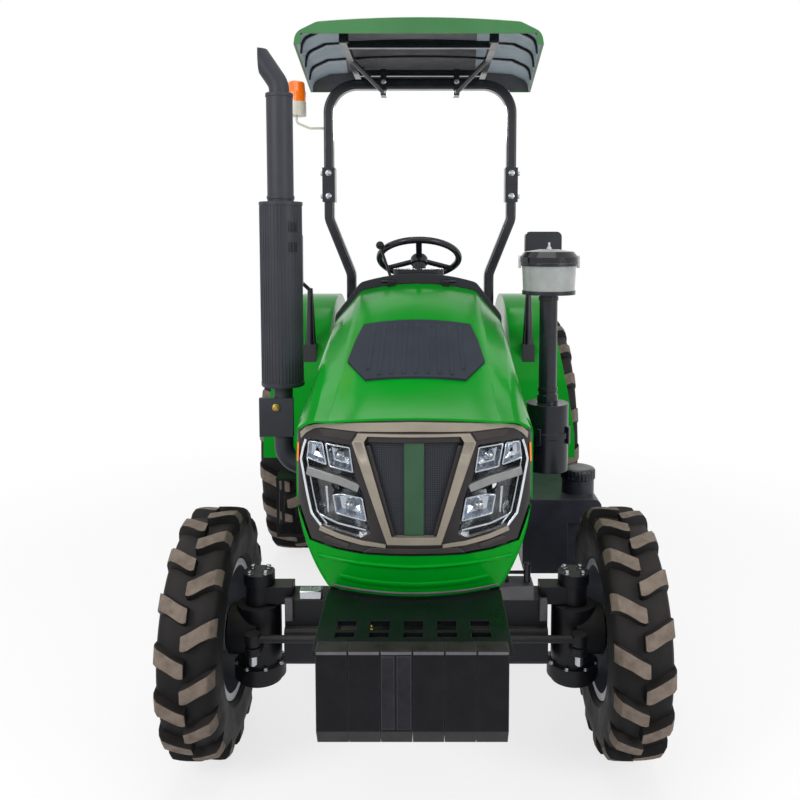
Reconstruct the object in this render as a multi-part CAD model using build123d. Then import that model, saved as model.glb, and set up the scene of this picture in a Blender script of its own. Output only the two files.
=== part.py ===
from build123d import *
import math
import os

# Wheels and stance, in millimetres; forward is -Y, the driver's left is +X, +Z is up
WHEELBASE = 1790
WEIGHT_REACH = 780  # front axle to the front face of the weights
LINK_REACH = 850  # rear axle to the ends of the lower links
FRONT_TRACK = 1302
REAR_TRACK = 1224
KINGPIN_OFFSET = 146  # kingpin axis to the wheel's middle plane
FRONT_TYRE_RADIUS = 380
FRONT_TYRE_WIDTH = 184
FRONT_RIM_RADIUS = 203
FRONT_RIM_WIDTH = 140
REAR_TYRE_RADIUS = 602
REAR_TYRE_WIDTH = 288
REAR_RIM_RADIUS = 355
REAR_RIM_WIDTH = 250
FRONT_LUGS = 16  # lugs along each side of the tread
REAR_LUGS = 20
FRONT_LUG_HEIGHT = 24
REAR_LUG_HEIGHT = 34

# Clearances
BEAD_GAP = 0.3  # tyre bead over its rim
SHAFT_GAP = 0.05  # a turning shaft in its bore
FACE_GAP = 0.4  # thrust faces at a pin
MOVE_GAP = 8.0  # between a moving piece and what stands still
SEAM = 0.5  # between panels of one body
SLEEVE_GAP = 10  # kingpin sleeve to the tyre's inner face

# Driveline
ENGINE_HALF_WIDTH = 205
ENGINE_FRONT = 20  # behind the front axle
ENGINE_LENGTH = 600
ENGINE_BOTTOM = 540
ENGINE_TOP = 1100
GEARBOX_HALF_WIDTH = 180
GEARBOX_BOTTOM = 460
GEARBOX_TOP = 780
REAR_HOUSING_HALF_WIDTH = 200
REAR_HOUSING_LENGTH = 470
REAR_HOUSING_TAIL = 240  # behind the rear axle
LIFT_COVER_TOP = 930
AXLE_TUBE_RADIUS = 78
REAR_STUB_RADIUS = 38
FRONT_STUB_RADIUS = 30

# Front end
KINGPIN_RADIUS = 26
SLEEVE_BOTTOM = 466
SLEEVE_TOP = 532
STEER_ARM = 115
STEER_ROD_RADIUS = 12
STEER_ROD_Z = 398
RAIL_WIDTH = 28
RAIL_BOTTOM = 545
RAIL_TOP = 676
WEIGHT_DEPTH = 120  # the weights' front face to the carrier's plate
WEIGHT_LIP = 25  # how far the weights stand ahead of the deck they hang on
CARRIER_PLATE = 12
WEIGHT_COUNT = 6
WEIGHT_SPREAD = 442
WEIGHT_BOTTOM = 471

# Hood and nose
SHEET = 6
HOOD_NOSE = 484  # ahead of the front axle
HOOD_NOSE_SWEEP = 62  # how far the nose's corners fall back
NOSE_CORNER = 28
HOOD_REAR = 780  # behind the front axle
HOOD_HALF_WIDTH = 333
HOOD_REAR_TOP = 1448
HOOD_NOSE_TOP = 1172
HINGE_Z = 1456
HINGE_RADIUS = 5.5
HINGE_LINE = 8  # behind the hood's rear edge
COWL_GAP = 20  # hood's rear edge to the cowl
CHIN_TOP = 960  # upper ends of the seam between nose and chin
CHIN_DIP = 152  # how far that seam drops in the middle
CHIN_SIDE_TOP = 915  # the chin's edge behind the nose
CHIN_NOTCH = 25  # how far ahead of the side panels that edge begins

# Exhaust and intake
EXHAUST_X = -480
EXHAUST_STATION = 350
MUFFLER_RADIUS = 74
MUFFLER_BOTTOM = 1108
MUFFLER_TOP = 1760
STACK_RADIUS = 46
TIP_RADIUS = 35
TIP_HEIGHT = 150
TIP_REACH = 68  # sideways, to the tip's cut
STACK_TOP = 2285
INTAKE_X = 466
CANISTER_RADIUS = 75
CANISTER_BOTTOM = 805
CANISTER_TOP = 1046
INTAKE_PIPE_RADIUS = 32
BOWL_RADIUS = 100
BOWL_BOTTOM = 1449
BOWL_TOP = 1548

# Tank and driver's place
TANK_INNER = 400
TANK_OUTER = 700
TANK_STATION = 500
TANK_LENGTH = 370
TANK_BOTTOM = 352
TANK_TOP = 640
PLATFORM_Z = 600
PLATFORM_THICK = 12
PLATFORM_HALF_WIDTH = 610
WHEEL_WELL = 425  # middle of the tractor to the fender's inner wall
DASH_HUMP = 105
WHEEL_RING_RADIUS = 178
WHEEL_RING_TUBE = 15
WHEEL_RING_STATION = 1170
WHEEL_RING_Z = 1540
WHEEL_RING_TILT = 28
WHEEL_HUB = 28
SEAT_RISE = 100  # lift cover to the seat's datum
SEAT_HALF_WIDTH = 235
SEAT_BACK_TOP = 1350

# Fenders, roll bar and canopy
FENDER_RADIUS = 735
FENDER_OUTER = 695
ROPS_STATION = 60  # behind the rear axle
ROPS_HALF_WIDTH = 480
ROPS_FOOT = 365
ROPS_TUBE = 50
ROPS_DEPTH = 70
ROPS_TOP = 2430
ROPS_SPLICE = 1909
ROPS_SLEEVE = 90
ROPS_CORNER = 150
CANOPY_FRONT = -790  # from the rear axle
CANOPY_REAR = 400
CANOPY_FRONT_HALF_WIDTH = 530
CANOPY_REAR_HALF_WIDTH = 620
CANOPY_TOP = 2600
CANOPY_EDGE = 2450
CANOPY_SHELL = 8
BEACON_X = -650
BEACON_RADIUS = 50
BEACON_BOTTOM = 2270
BEACON_FOOT = 72
BEACON_LENS = 108

# Rear hitch
LINK_PIVOT_STATION = 60
LINK_PIVOT_Z = 400
LINK_PIVOT_X = 250
LINK_END_X = 341
LINK_DROP = 12  # degrees below level at rest
LINK_EYE = 30
LINK_BORE = 11.2
ROCK_STATION = 190
ROCK_Z = 890
ROCK_ARM = 240
ROCK_DROP = 20
ROCK_FACE = 184  # middle of the tractor to the arms' outer faces
DRAWBAR_BORE = 13.5
TOP_LINK_BORE = 9.7
PTO_RADIUS = 17.5
PTO_Z = 560

SEAT_Z = LIFT_COVER_TOP + SEAT_RISE
HOOD_SKIRT = CHIN_SIDE_TOP + 6 + MOVE_GAP
CHIN_BOTTOM = RAIL_TOP + CARRIER_PLATE
OVERALL_LENGTH = WEIGHT_REACH + WHEELBASE + LINK_REACH
FRONT_AXLE = WEIGHT_REACH - OVERALL_LENGTH / 2
REAR_AXLE = FRONT_AXLE + WHEELBASE
KINGPIN_X = FRONT_TRACK / 2 - KINGPIN_OFFSET
SLEEVE_RADIUS = KINGPIN_OFFSET - FRONT_TYRE_WIDTH / 2 - SLEEVE_GAP
CARRIER_REACH = WEIGHT_REACH - WEIGHT_DEPTH
DECK_REACH = WEIGHT_REACH - WEIGHT_LIP
PANEL_FRONT = FRONT_AXLE - HOOD_NOSE + HOOD_NOSE_SWEEP + 40
FRONT_AXLE_Z = FRONT_TYRE_RADIUS
REAR_AXLE_Z = REAR_TYRE_RADIUS


def block(x, y, z):
    """Box between pairs of limits along each axis."""
    spans = [(min(s), max(s)) for s in (x, y, z)]
    centre = [(a + b) / 2 for a, b in spans]
    return Pos(*centre) * Box(*[b - a for a, b in spans])


def rod_x(radius, x, y, z):
    """Round bar along X between two limits."""
    return Pos((x[0] + x[1]) / 2, y, z) * Rot(0, 90, 0) * Cylinder(radius, abs(x[1] - x[0]))


def rod_y(radius, x, y, z):
    """Round bar along Y between two limits."""
    return Pos(x, (y[0] + y[1]) / 2, z) * Rot(90, 0, 0) * Cylinder(radius, abs(y[1] - y[0]))


def rod_z(radius, x, y, z):
    """Round bar along Z between two limits."""
    return Pos(x, y, (z[0] + z[1]) / 2) * Cylinder(radius, abs(z[1] - z[0]))


def bar(radius, start, end):
    """Round bar from one point to another."""
    run = Vector(*end) - Vector(*start)
    base = Plane(origin=start, z_dir=run)
    return base * Cylinder(radius, run.length, align=(Align.CENTER, Align.CENTER, Align.MIN))


def bent_bar(radius, points, bend):
    """Round bar along straight runs joined by bends."""
    path = FilletPolyline(*points, radius=bend)
    return sweep(Plane(path @ 0, z_dir=path % 0) * Circle(radius), path=path)


def side_plate(x, points, corner=0):
    """Plate seen from the side: points are (y, z)."""
    face = make_face(Plane.YZ.offset(min(x)) * Polyline(*points, close=True))
    plate = extrude(face, abs(x[1] - x[0]), dir=(1, 0, 0))
    return fillet(plate.edges().filter_by(Axis.X), corner) if corner else plate


def front_plate(y, points, corner=0):
    """Plate seen from the front: points are (x, z)."""
    face = make_face(Plane.XZ.offset(-max(y)) * Polyline(*points, close=True))
    plate = extrude(face, abs(y[1] - y[0]), dir=(0, -1, 0))
    return fillet(plate.edges().filter_by(Axis.Y), corner) if corner else plate


def soft_block(x, y, z, radius):
    """Box with its upright edges rounded."""
    part = block(x, y, z)
    return fillet(part.edges().filter_by(Axis.Z), radius)


def pair(part):
    """A piece and its mirror image on the other side."""
    return Compound([part, mirror(part, about=Plane.YZ)])


def turned(profile):
    """Ring turned about X: profile points are (x, radius)."""
    return revolve(make_face(Polyline(*profile, close=True)), axis=Axis.X)


def tyre_profile(radius, width, rim_radius, rim_width, sunk):
    """Half outline of a tyre from bead to tread, its tread sunk below the lugs' tips."""
    bead = rim_radius + BEAD_GAP
    half = width / 2
    bead_half = rim_width / 2 - 14
    bulge = bead + 0.5 * (radius - bead)
    shoulder = radius - 0.14 * width - 0.5 * sunk
    points = [(-bead_half, bead), (-bead_half, bead + 16), (-half, bulge)]
    points += [(-0.94 * half + 0.2 * sunk, shoulder), (-0.8 * half, radius - sunk)]
    return points + [(-x, r) for x, r in reversed(points)]


def tyre(radius, width, rim_radius, rim_width, lugs, lug_height):
    """Tyre with two staggered rows of slanting lugs, axle along X."""
    carcass = turned(tyre_profile(radius, width, rim_radius, rim_width, lug_height))
    envelope = turned(tyre_profile(radius, width, rim_radius, rim_width, 0))
    half = width / 2
    pitch = 2 * math.pi * radius / lugs
    thick = 0.16 * pitch
    slant = 0.24 * half
    outline = [(1.1 * half, slant - thick), (1.1 * half, slant + thick)]
    outline += [(0.08 * half, -slant + thick), (0.08 * half, -slant - thick)]
    face = make_face(Plane.XY.offset(radius - 0.27 * width) * Polyline(*outline, close=True))
    lug = extrude(face, 0.4 * width, dir=(0, 0, 1)) & envelope
    other = mirror(lug, about=Plane.YZ)
    step = 360 / lugs
    row = [Rot(i * step, 0, 0) * lug for i in range(lugs)]
    row += [Rot((i + 0.5) * step, 0, 0) * other for i in range(lugs)]
    return carcass + row


def rim(radius, width, disc_x, hub_radius, hub_x, stub_radius, stub_x, bolts, bolt_circle):
    """Wheel with a dished disc, its hub and a stub shaft, outward along +X."""
    half = width / 2
    barrel = turned([
        (-half, radius - 10), (-half, radius + 12), (-half + 10, radius + 12), (-half + 12, radius),
        (half - 12, radius), (half - 10, radius + 12), (half, radius + 12), (half, radius - 10),
    ])
    inner = [(disc_x - 5, 0), (disc_x - 5, 0.55 * radius), (disc_x + 20, 0.8 * radius)]
    inner += [(disc_x + 20, radius - 8)]
    outer = [(disc_x + 30, radius - 8), (disc_x + 30, 0.78 * radius), (disc_x + 5, 0.52 * radius)]
    disc = turned(inner + outer + [(disc_x + 5, 0)])
    hub = rod_x(hub_radius, (hub_x, disc_x), 0, 0)
    hub += rod_x(0.6 * hub_radius, (disc_x, disc_x + 28), 0, 0)
    stub = rod_x(stub_radius, (stub_x, hub_x), 0, 0)
    wheel = barrel + disc + hub + stub
    angles = [360 / bolts * i for i in range(bolts)]
    heads = [Rot(a, 0, 0) * rod_x(9, (disc_x + 4, disc_x + 20), bolt_circle, 0) for a in angles]
    return wheel + heads


def front_wheel_parts():
    """Left front tyre and wheel at their place."""
    centre = FRONT_TRACK / 2
    place = Pos(centre, FRONT_AXLE, FRONT_AXLE_Z)
    hub_x = KINGPIN_X + 90 + MOVE_GAP - centre
    wheel = rim(FRONT_RIM_RADIUS, FRONT_RIM_WIDTH, -8, 68, hub_x, FRONT_STUB_RADIUS, hub_x - 66, 6, 52)
    size = (FRONT_TYRE_RADIUS, FRONT_TYRE_WIDTH, FRONT_RIM_RADIUS, FRONT_RIM_WIDTH)
    tread = tyre(*size, FRONT_LUGS, FRONT_LUG_HEIGHT)
    return (
        place * tread,
        place * wheel,
    )


def rear_tube_end():
    """Outer end of the left axle tube."""
    return REAR_TRACK / 2 - 72


def rear_wheel_parts():
    """Left rear tyre and wheel at their place."""
    centre = REAR_TRACK / 2
    place = Pos(centre, REAR_AXLE, REAR_AXLE_Z)
    hub_x = rear_tube_end() + MOVE_GAP - centre
    wheel = rim(REAR_RIM_RADIUS, REAR_RIM_WIDTH, -6, 105, hub_x, REAR_STUB_RADIUS, hub_x - 90, 8, 84)
    size = (REAR_TYRE_RADIUS, REAR_TYRE_WIDTH, REAR_RIM_RADIUS, REAR_RIM_WIDTH)
    casing = tyre(*size, REAR_LUGS, REAR_LUG_HEIGHT)
    return (
        place * casing,
        place * wheel,
    )


def knuckle():
    """Left final drive housing with its kingpin and steering arm."""
    y = FRONT_AXLE
    z = FRONT_AXLE_Z
    case = rod_z(70, KINGPIN_X, y, (z - 165, SLEEVE_BOTTOM - FACE_GAP))
    drive = rod_x(80, (KINGPIN_X, KINGPIN_X + 90), y, z)
    pan = rod_z(82, KINGPIN_X, y, (z - 150, z - 105))
    pin = rod_z(KINGPIN_RADIUS, KINGPIN_X, y, (SLEEVE_BOTTOM - 20, SLEEVE_TOP + 20))
    cap = rod_z(50, KINGPIN_X, y, (SLEEVE_TOP + FACE_GAP, SLEEVE_TOP + 36))
    arm_z = STEER_ROD_Z - 48
    arm = block((KINGPIN_X - 24, KINGPIN_X + 24), (y - STEER_ARM, y), (arm_z, arm_z + 24))
    arm += rod_z(24, KINGPIN_X, y - STEER_ARM, (arm_z, arm_z + 24))
    stud = rod_z(10, KINGPIN_X, y - STEER_ARM, (arm_z, STEER_ROD_Z - 18 - FACE_GAP))
    bore = rod_x(FRONT_STUB_RADIUS + SHAFT_GAP, (KINGPIN_X + 10, KINGPIN_X + 91), y, z)
    return case + drive + pan + pin + cap + arm + stud - bore


def front_axle():
    """Axle beam with its differential, raised ends and kingpin sleeves."""
    y = FRONT_AXLE
    z = FRONT_AXLE_Z
    reach = KINGPIN_X - 90
    beam = block((-reach, reach), (y - 75, y + 75), (z - 90, z + 30))
    beam = fillet(beam.edges().filter_by(Axis.X), 18)
    crown = block((-reach, reach), (y - 55, y + 55), (z + 20, z + 115))
    bowl = Pos(60, y + 45, z - 10) * Sphere(112)
    bowl &= block((-200, 200), (y - 200, y + 200), (z - 160, z + 100))
    part = beam + crown + bowl
    for side in (1, -1):
        x = side * KINGPIN_X
        arm = block((side * (reach - 20), x), (y - 34, y + 34), (SLEEVE_BOTTOM + 6, SLEEVE_TOP - 4))
        sleeve = rod_z(SLEEVE_RADIUS, x, y, (SLEEVE_BOTTOM, SLEEVE_TOP))
        part += arm + sleeve
    for side in (1, -1):
        part -= rod_z(KINGPIN_RADIUS + SHAFT_GAP, side * KINGPIN_X, y, (SLEEVE_BOTTOM - 1, SLEEVE_TOP + 1))
    lug = block((-45, 45), (y - 55, y + 55), (z + 80, RAIL_TOP - 60))
    bore = rod_y(25 + BEAD_GAP, 0, (y - 60, y + 60), RAIL_BOTTOM + 10)
    return part + lug - bore


def steering_cylinder():
    """Barrel of the two-ended steering cylinder with its saddles on the beam."""
    y = FRONT_AXLE - STEER_ARM
    barrel = rod_x(28, (-170, 170), y, STEER_ROD_Z)
    for side in (1, -1):
        barrel += rod_x(33, (side * 150, side * 172), y, STEER_ROD_Z)
        barrel += block((side * 90, side * 130), (y, FRONT_AXLE - 75), (STEER_ROD_Z - 22, STEER_ROD_Z + 8))
    return barrel - rod_x(STEER_ROD_RADIUS + SHAFT_GAP, (-180, 180), y, STEER_ROD_Z)


def steering_rod():
    """Rod through the cylinder with an eye over each steering arm."""
    y = FRONT_AXLE - STEER_ARM
    rod = rod_x(STEER_ROD_RADIUS, (-KINGPIN_X, KINGPIN_X), y, STEER_ROD_Z)
    for side in (1, -1):
        rod += rod_z(24, side * KINGPIN_X, y, (STEER_ROD_Z - 18, STEER_ROD_Z + 18))
    return rod


def front_frame():
    """Side rails, axle pivot hangers and the carrier that the weights hang on."""
    inner = ENGINE_HALF_WIDTH
    y_front = FRONT_AXLE - CARRIER_REACH
    y_rear = FRONT_AXLE + ENGINE_FRONT + 260
    side = [(y_front, RAIL_TOP), (y_rear, RAIL_TOP), (y_rear, RAIL_BOTTOM + 20)]
    side += [(FRONT_AXLE - 150, RAIL_BOTTOM), (y_front + 60, RAIL_BOTTOM + 20)]
    rail = side_plate((inner, inner + RAIL_WIDTH), side + [(y_front, RAIL_BOTTOM + 60)])
    part = rail + mirror(rail, about=Plane.YZ)
    for y in (FRONT_AXLE - 85, FRONT_AXLE + 85):
        part += block((-inner, inner), (y - 25, y + 25), (RAIL_BOTTOM + 40, RAIL_TOP))
        part += block((-60, 60), (y - 25, y + 25), (RAIL_BOTTOM - 40, RAIL_TOP))
    part += rod_y(25, 0, (FRONT_AXLE - 90, FRONT_AXLE + 90), RAIL_BOTTOM + 10)
    outer = inner + RAIL_WIDTH
    y_deck = FRONT_AXLE - DECK_REACH
    z = (RAIL_TOP, RAIL_TOP + CARRIER_PLATE)
    deck = block((-outer, outer), (y_deck, y_front + 240), z)
    pitch = 2 * inner / 5
    for i in range(5):
        x = (i - 2) * pitch
        deck -= block((x - 24, x + 24), (y_deck + 66, y_deck + 156), (z[0] - 1, z[1] + 1))
    face = block((-outer, outer), (y_front, y_front + CARRIER_PLATE), (RAIL_BOTTOM + 40, z[1]))
    return part + deck + face


def front_weights():
    """Row of suitcase weights hung under the carrier's deck by lips over its front edge."""
    front = FRONT_AXLE - WEIGHT_REACH
    plate = FRONT_AXLE - CARRIER_REACH
    deck = front + WEIGHT_LIP
    top = RAIL_TOP + CARRIER_PLATE
    profile = [(front, top + 14), (deck + 20, top + 14), (deck + 20, top), (deck, top)]
    profile += [(deck, RAIL_TOP), (plate, RAIL_TOP), (plate, WEIGHT_BOTTOM + 30)]
    profile += [(plate - 20, WEIGHT_BOTTOM), (front + 24, WEIGHT_BOTTOM), (front, WEIGHT_BOTTOM + 40)]
    pitch = WEIGHT_SPREAD / WEIGHT_COUNT
    slabs = []
    for i in range(WEIGHT_COUNT):
        x = -WEIGHT_SPREAD / 2 + i * pitch
        slabs.append(side_plate((x + SEAM, x + pitch - SEAM), profile))
    return Compound(slabs)


def engine():
    """Engine as one plain block with its sump."""
    y0 = FRONT_AXLE + ENGINE_FRONT
    y1 = y0 + ENGINE_LENGTH
    x = (-ENGINE_HALF_WIDTH, ENGINE_HALF_WIDTH)
    body = block(x, (y0 + 100, y1), (ENGINE_BOTTOM + 120, ENGINE_TOP))
    skirt = block(x, (y0 + 160, y1), (ENGINE_BOTTOM, ENGINE_BOTTOM + 130))
    pulley = rod_y(85, 0, (y0, y0 + 102), ENGINE_BOTTOM + 240)
    return body + skirt + pulley


def radiator():
    """Radiator with its shroud, standing on the rails."""
    y = FRONT_AXLE - 170
    half = ENGINE_HALF_WIDTH + 20
    core = block((-half, half), (y - 45, y + 45), (RAIL_TOP, RAIL_TOP + 440))
    shroud = rod_y(180, 0, (y + 40, FRONT_AXLE - 20), RAIL_TOP + 225)
    return core + shroud - rod_y(165, 0, (y + 44, FRONT_AXLE), RAIL_TOP + 225)


def gearbox():
    """Gearbox, rear housing and lift cover in one line, with arms for the tank."""
    y0 = FRONT_AXLE + ENGINE_FRONT + ENGINE_LENGTH
    y1 = REAR_AXLE + REAR_HOUSING_TAIL
    y_housing = y1 - REAR_HOUSING_LENGTH
    bell = block((-ENGINE_HALF_WIDTH, ENGINE_HALF_WIDTH), (y0, y0 + 140), (GEARBOX_BOTTOM, ENGINE_TOP - 260))
    body = block((-GEARBOX_HALF_WIDTH, GEARBOX_HALF_WIDTH), (y0, y1), (GEARBOX_BOTTOM, GEARBOX_TOP))
    half = REAR_HOUSING_HALF_WIDTH
    rear = block((-half, half), (y_housing, y1), (REAR_AXLE_Z - 190, REAR_AXLE_Z + 215))
    rear = fillet(rear.edges().filter_by(Axis.X), 30)
    cover = block((-150, 150), (y_housing + 40, y1), (REAR_AXLE_Z + 180, LIFT_COVER_TOP))
    cover = fillet(cover.edges().filter_by(Axis.Y).sort_by(Axis.Z)[-2:], 40)
    part = bell + body + rear + cover
    for y in (FRONT_AXLE + TANK_STATION + 140, FRONT_AXLE + TANK_STATION + 320):
        part += block((0, TANK_INNER), (y - 20, y + 20), (GEARBOX_BOTTOM + 10, GEARBOX_BOTTOM + 60))
    for side in (1, -1):
        x = side * LINK_PIVOT_X
        y = REAR_AXLE + LINK_PIVOT_STATION
        ear_x = (side * 100, side * (LINK_PIVOT_X - 20))
        ear = block(ear_x, (y - 40, y + 40), (LINK_PIVOT_Z - 40, REAR_AXLE_Z - 120))
        part += ear + rod_x(14, sorted((side * 150, x + side * 14)), y, LINK_PIVOT_Z)
    part += block((-32, -12), (y1, y1 + 60), (REAR_AXLE_Z + 140, REAR_AXLE_Z + 240))
    part += block((12, 32), (y1, y1 + 60), (REAR_AXLE_Z + 140, REAR_AXLE_Z + 240))
    part -= rod_x(TOP_LINK_BORE, (-40, 40), y1 + 34, REAR_AXLE_Z + 190)
    part -= rod_x(25 + SHAFT_GAP, (-160, 160), REAR_AXLE + ROCK_STATION, ROCK_Z)
    return part


def axle_tubes():
    """Rear axle tubes, bored for the wheels' shafts."""
    end = rear_tube_end()
    half = REAR_HOUSING_HALF_WIDTH
    tube = rod_x(AXLE_TUBE_RADIUS, (half, end), REAR_AXLE, REAR_AXLE_Z)
    tube += rod_x(AXLE_TUBE_RADIUS + 28, (half, half + 24), REAR_AXLE, REAR_AXLE_Z)
    tube += rod_x(AXLE_TUBE_RADIUS + 14, (end - 26, end), REAR_AXLE, REAR_AXLE_Z)
    tube -= rod_x(REAR_STUB_RADIUS + SHAFT_GAP, (end - 100, end + 1), REAR_AXLE, REAR_AXLE_Z)
    return pair(tube)


def hood_section(station, half_width, shoulder, crown_half, crown, top, inset, bottom, corner=45):
    """Cross-section of the hood: straight side, sloped shoulder, arched top."""
    w = half_width - inset
    c = crown_half - 0.6 * inset
    zt = crown - inset
    left = [(-w, bottom), (-w, shoulder - 0.4 * inset), (-c, zt)]
    right = [(-x, z) for x, z in reversed(left)]
    outline = Polyline(*left) + ThreePointArc((-c, zt), (0, top - inset), (c, zt)) + Polyline(*right)
    outline += Line(right[-1], left[0])
    face = make_face(outline)
    corners = face.vertices().filter_by(lambda v: v.Y > bottom + 1)
    return Plane.XZ.offset(-(FRONT_AXLE + station)) * fillet(corners, corner)


def hood_form(inset, bottom):
    """Solid inside the hood's skin, drawn in by an inset."""
    nose = -HOOD_NOSE - 16
    rise = HOOD_REAR_TOP - HOOD_NOSE_TOP
    run = HOOD_REAR - nose
    rows = [(0.0, 0.96, 0.0, 10), (0.3, 0.975, 0.22, 19), (0.62, 0.99, 0.61, 25), (1.0, 1.0, 1.0, 30)]
    sections = []
    for along, wide, up, arch in rows:
        top = HOOD_NOSE_TOP + rise * up
        w = HOOD_HALF_WIDTH * wide
        station = nose + run * along
        size = (w, top - 12 - 136 * up, 0.7 * w, top - arch, top, inset, bottom, 62 - 17 * up)
        sections.append(hood_section(station, *size))
    return loft(sections)


def nose_outline(reach, sweep_back, half_width, rear, z):
    """Plan outline of the nose: an arched front between straight sides."""
    front = FRONT_AXLE - reach
    corner = front + sweep_back
    outline = ThreePointArc((-half_width, corner), (0, front), (half_width, corner))
    outline += Polyline((half_width, corner), (half_width, rear), (-half_width, rear), (-half_width, corner))
    face = make_face(outline)
    corners = face.vertices().filter_by(lambda v: v.Y < corner + 1)
    return Plane.XY.offset(z) * fillet(corners, NOSE_CORNER)


def hood_skin():
    """Whole hood skin, open below, in front and behind, with the nose's arched front edge."""
    rear = FRONT_AXLE + HOOD_REAR
    skin = hood_form(0, HOOD_SKIRT - 80) - hood_form(SHEET, HOOD_SKIRT - 90)
    plan = nose_outline(HOOD_NOSE, HOOD_NOSE_SWEEP, 2 * HOOD_HALF_WIDTH, rear, HOOD_SKIRT - 100)
    return skin & extrude(plan, HOOD_REAR_TOP, dir=(0, 0, 1))


def seam_plane_z(station):
    """Height of the seam between hood top and side panels."""
    return HOOD_NOSE_TOP - 30 + (station + HOOD_NOSE) * 0.115


def above_seam(lift):
    """Wedge above the hood's side seam, moved up by a lift."""
    y0 = FRONT_AXLE - HOOD_NOSE - 60
    y1 = FRONT_AXLE + HOOD_REAR + 60
    z0 = seam_plane_z(-HOOD_NOSE - 60) + lift
    z1 = seam_plane_z(HOOD_REAR + 60) + lift
    return side_plate((-500, 500), [(y0, z0), (y1, z1), (y1, 2000), (y0, 2000)])


def hood_top(skin):
    """Lid of the hood with its hinge barrels at the rear edge."""
    lid = skin & above_seam(SEAM / 2)
    y = FRONT_AXLE + HOOD_REAR
    for side in (1, -1):
        x = (side * 96, side * 124)
        lid += rod_x(HINGE_RADIUS, sorted(x), y + HINGE_LINE, HINGE_Z)
        lid += block(x, (y - 30, y + HINGE_LINE), (HINGE_Z - 26, HINGE_Z))
    return lid


def hood_sides(skin):
    """Side panels under the lid, cut off at the skirt line behind the nose."""
    panels = skin - above_seam(-SEAM / 2)
    panels &= block((-500, 500), (PANEL_FRONT, FRONT_AXLE + HOOD_REAR), (HOOD_SKIRT, 2000))
    return panels


def nose_form(inset, z0, z1):
    """Solid behind the nose's face, drawn in towards the chin."""
    rear = PANEL_FRONT - SEAM + 2 * inset
    half = 0.94 * HOOD_HALF_WIDTH - inset
    rows = [(z0, 0.92, 6), (CHIN_TOP, 1.0, 6), (z1, 1.0, 0)]
    sections = []
    for z, wide, ahead in rows:
        reach = HOOD_NOSE + ahead - inset
        sections.append(nose_outline(reach, HOOD_NOSE_SWEEP, half * wide, rear, z))
    return loft(sections, ruled=True)


def seam_wedge(gap):
    """Region above the seam between nose and chin, a wide U seen from the front."""
    y = (FRONT_AXLE - HOOD_NOSE - 80, FRONT_AXLE + 200)
    low = CHIN_TOP - CHIN_DIP
    side = [(330, CHIN_TOP), (306, CHIN_TOP - 55), (280, low + 22), (205, low + 6), (138, low)]
    side = [(x - 0.75 * gap, z + gap) for x, z in side]
    points = [(600, 2000), (600, CHIN_TOP + gap)] + side
    return front_plate(y, points + [(-x, z) for x, z in reversed(points)])


def lamp_outline(side, margin):
    """Front outline of one headlamp, drawn in by a margin."""
    m = margin
    top = HOOD_NOSE_TOP - 73 - m
    low = CHIN_TOP - CHIN_DIP + 42 + m
    points = [(167 + m, top), (288 - m, top + 11), (303 - m, top - 44), (274 - m, low + 57)]
    points += [(248 - m, low + 25), (140, low), (114 + m, low + 14), (131 + m, low + 117)]
    points += [(152 + m, low + 161)]
    return [(side * x, z) for x, z in points]


def grille_outline(margin):
    """Front outline of the grille, drawn in by a margin."""
    top = HOOD_NOSE_TOP - 40 - margin
    low = CHIN_TOP - CHIN_DIP + 34 + margin
    half = [(145 - 0.8 * margin, top), (161 - margin, top - 25 + 0.8 * margin), (70 - 0.6 * margin, low)]
    return half + [(-x, z) for x, z in reversed(half)]


def fascia():
    """Nose frame under the lid, with openings for the grille and the headlamps."""
    low = CHIN_TOP - CHIN_DIP
    solid = nose_form(0, low - 20, HOOD_NOSE_TOP + 10) - nose_form(40, low - 30, HOOD_NOSE_TOP - 52)
    y = (FRONT_AXLE - HOOD_NOSE - 80, FRONT_AXLE - HOOD_NOSE + 190)
    lid = block((-500, 500), y, (HOOD_NOSE_TOP - 100, HOOD_NOSE_TOP + 80))
    solid -= lid - hood_form(SHEET + SEAM, low)
    solid &= seam_wedge(MOVE_GAP)
    solid -= front_plate(y, grille_outline(0), 6)
    for side in (1, -1):
        solid -= front_plate(y, lamp_outline(side, 0), 6)
    return solid


def grille():
    """Mesh plate in a raised frame, with the upright strip in its middle."""
    y = (FRONT_AXLE - HOOD_NOSE - 10, FRONT_AXLE - HOOD_NOSE + 60)
    ring = front_plate(y, grille_outline(SEAM), 6) - front_plate(y, grille_outline(20), 4)
    mesh = front_plate((y[0] + 30, y[0] + 40), grille_outline(18), 4)
    top = grille_outline(18)[0][1]
    low = grille_outline(18)[2][1]
    strip = block((-26, 26), (y[0] + 14, y[0] + 34), (low, top))
    return ring + mesh + strip


def headlamps():
    """Lamp units filling the nose's openings."""
    form = nose_form(6, CHIN_TOP - CHIN_DIP - 20, HOOD_NOSE_TOP)
    y = (FRONT_AXLE - HOOD_NOSE - 80, FRONT_AXLE - HOOD_NOSE + 130)
    lamp = front_plate(y, lamp_outline(1, SEAM), 6) & form
    return pair(lamp)


def hood_vent():
    """Louvred panel standing on the hood's top."""
    y0 = FRONT_AXLE - 170
    half = [(148, y0), (216, y0 + 170), (205, y0 + 330), (186, y0 + 470)]
    points = half + [(-x, y) for x, y in reversed(half)]
    outline = make_face(Polyline(*points, close=True))
    prism = extrude(Plane.XY.offset(1000) * outline, 600, dir=(0, 0, 1))
    return prism & (Pos(0, 0, 8) * hood_form(0, 900)) - hood_form(-0.2, 880)


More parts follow.
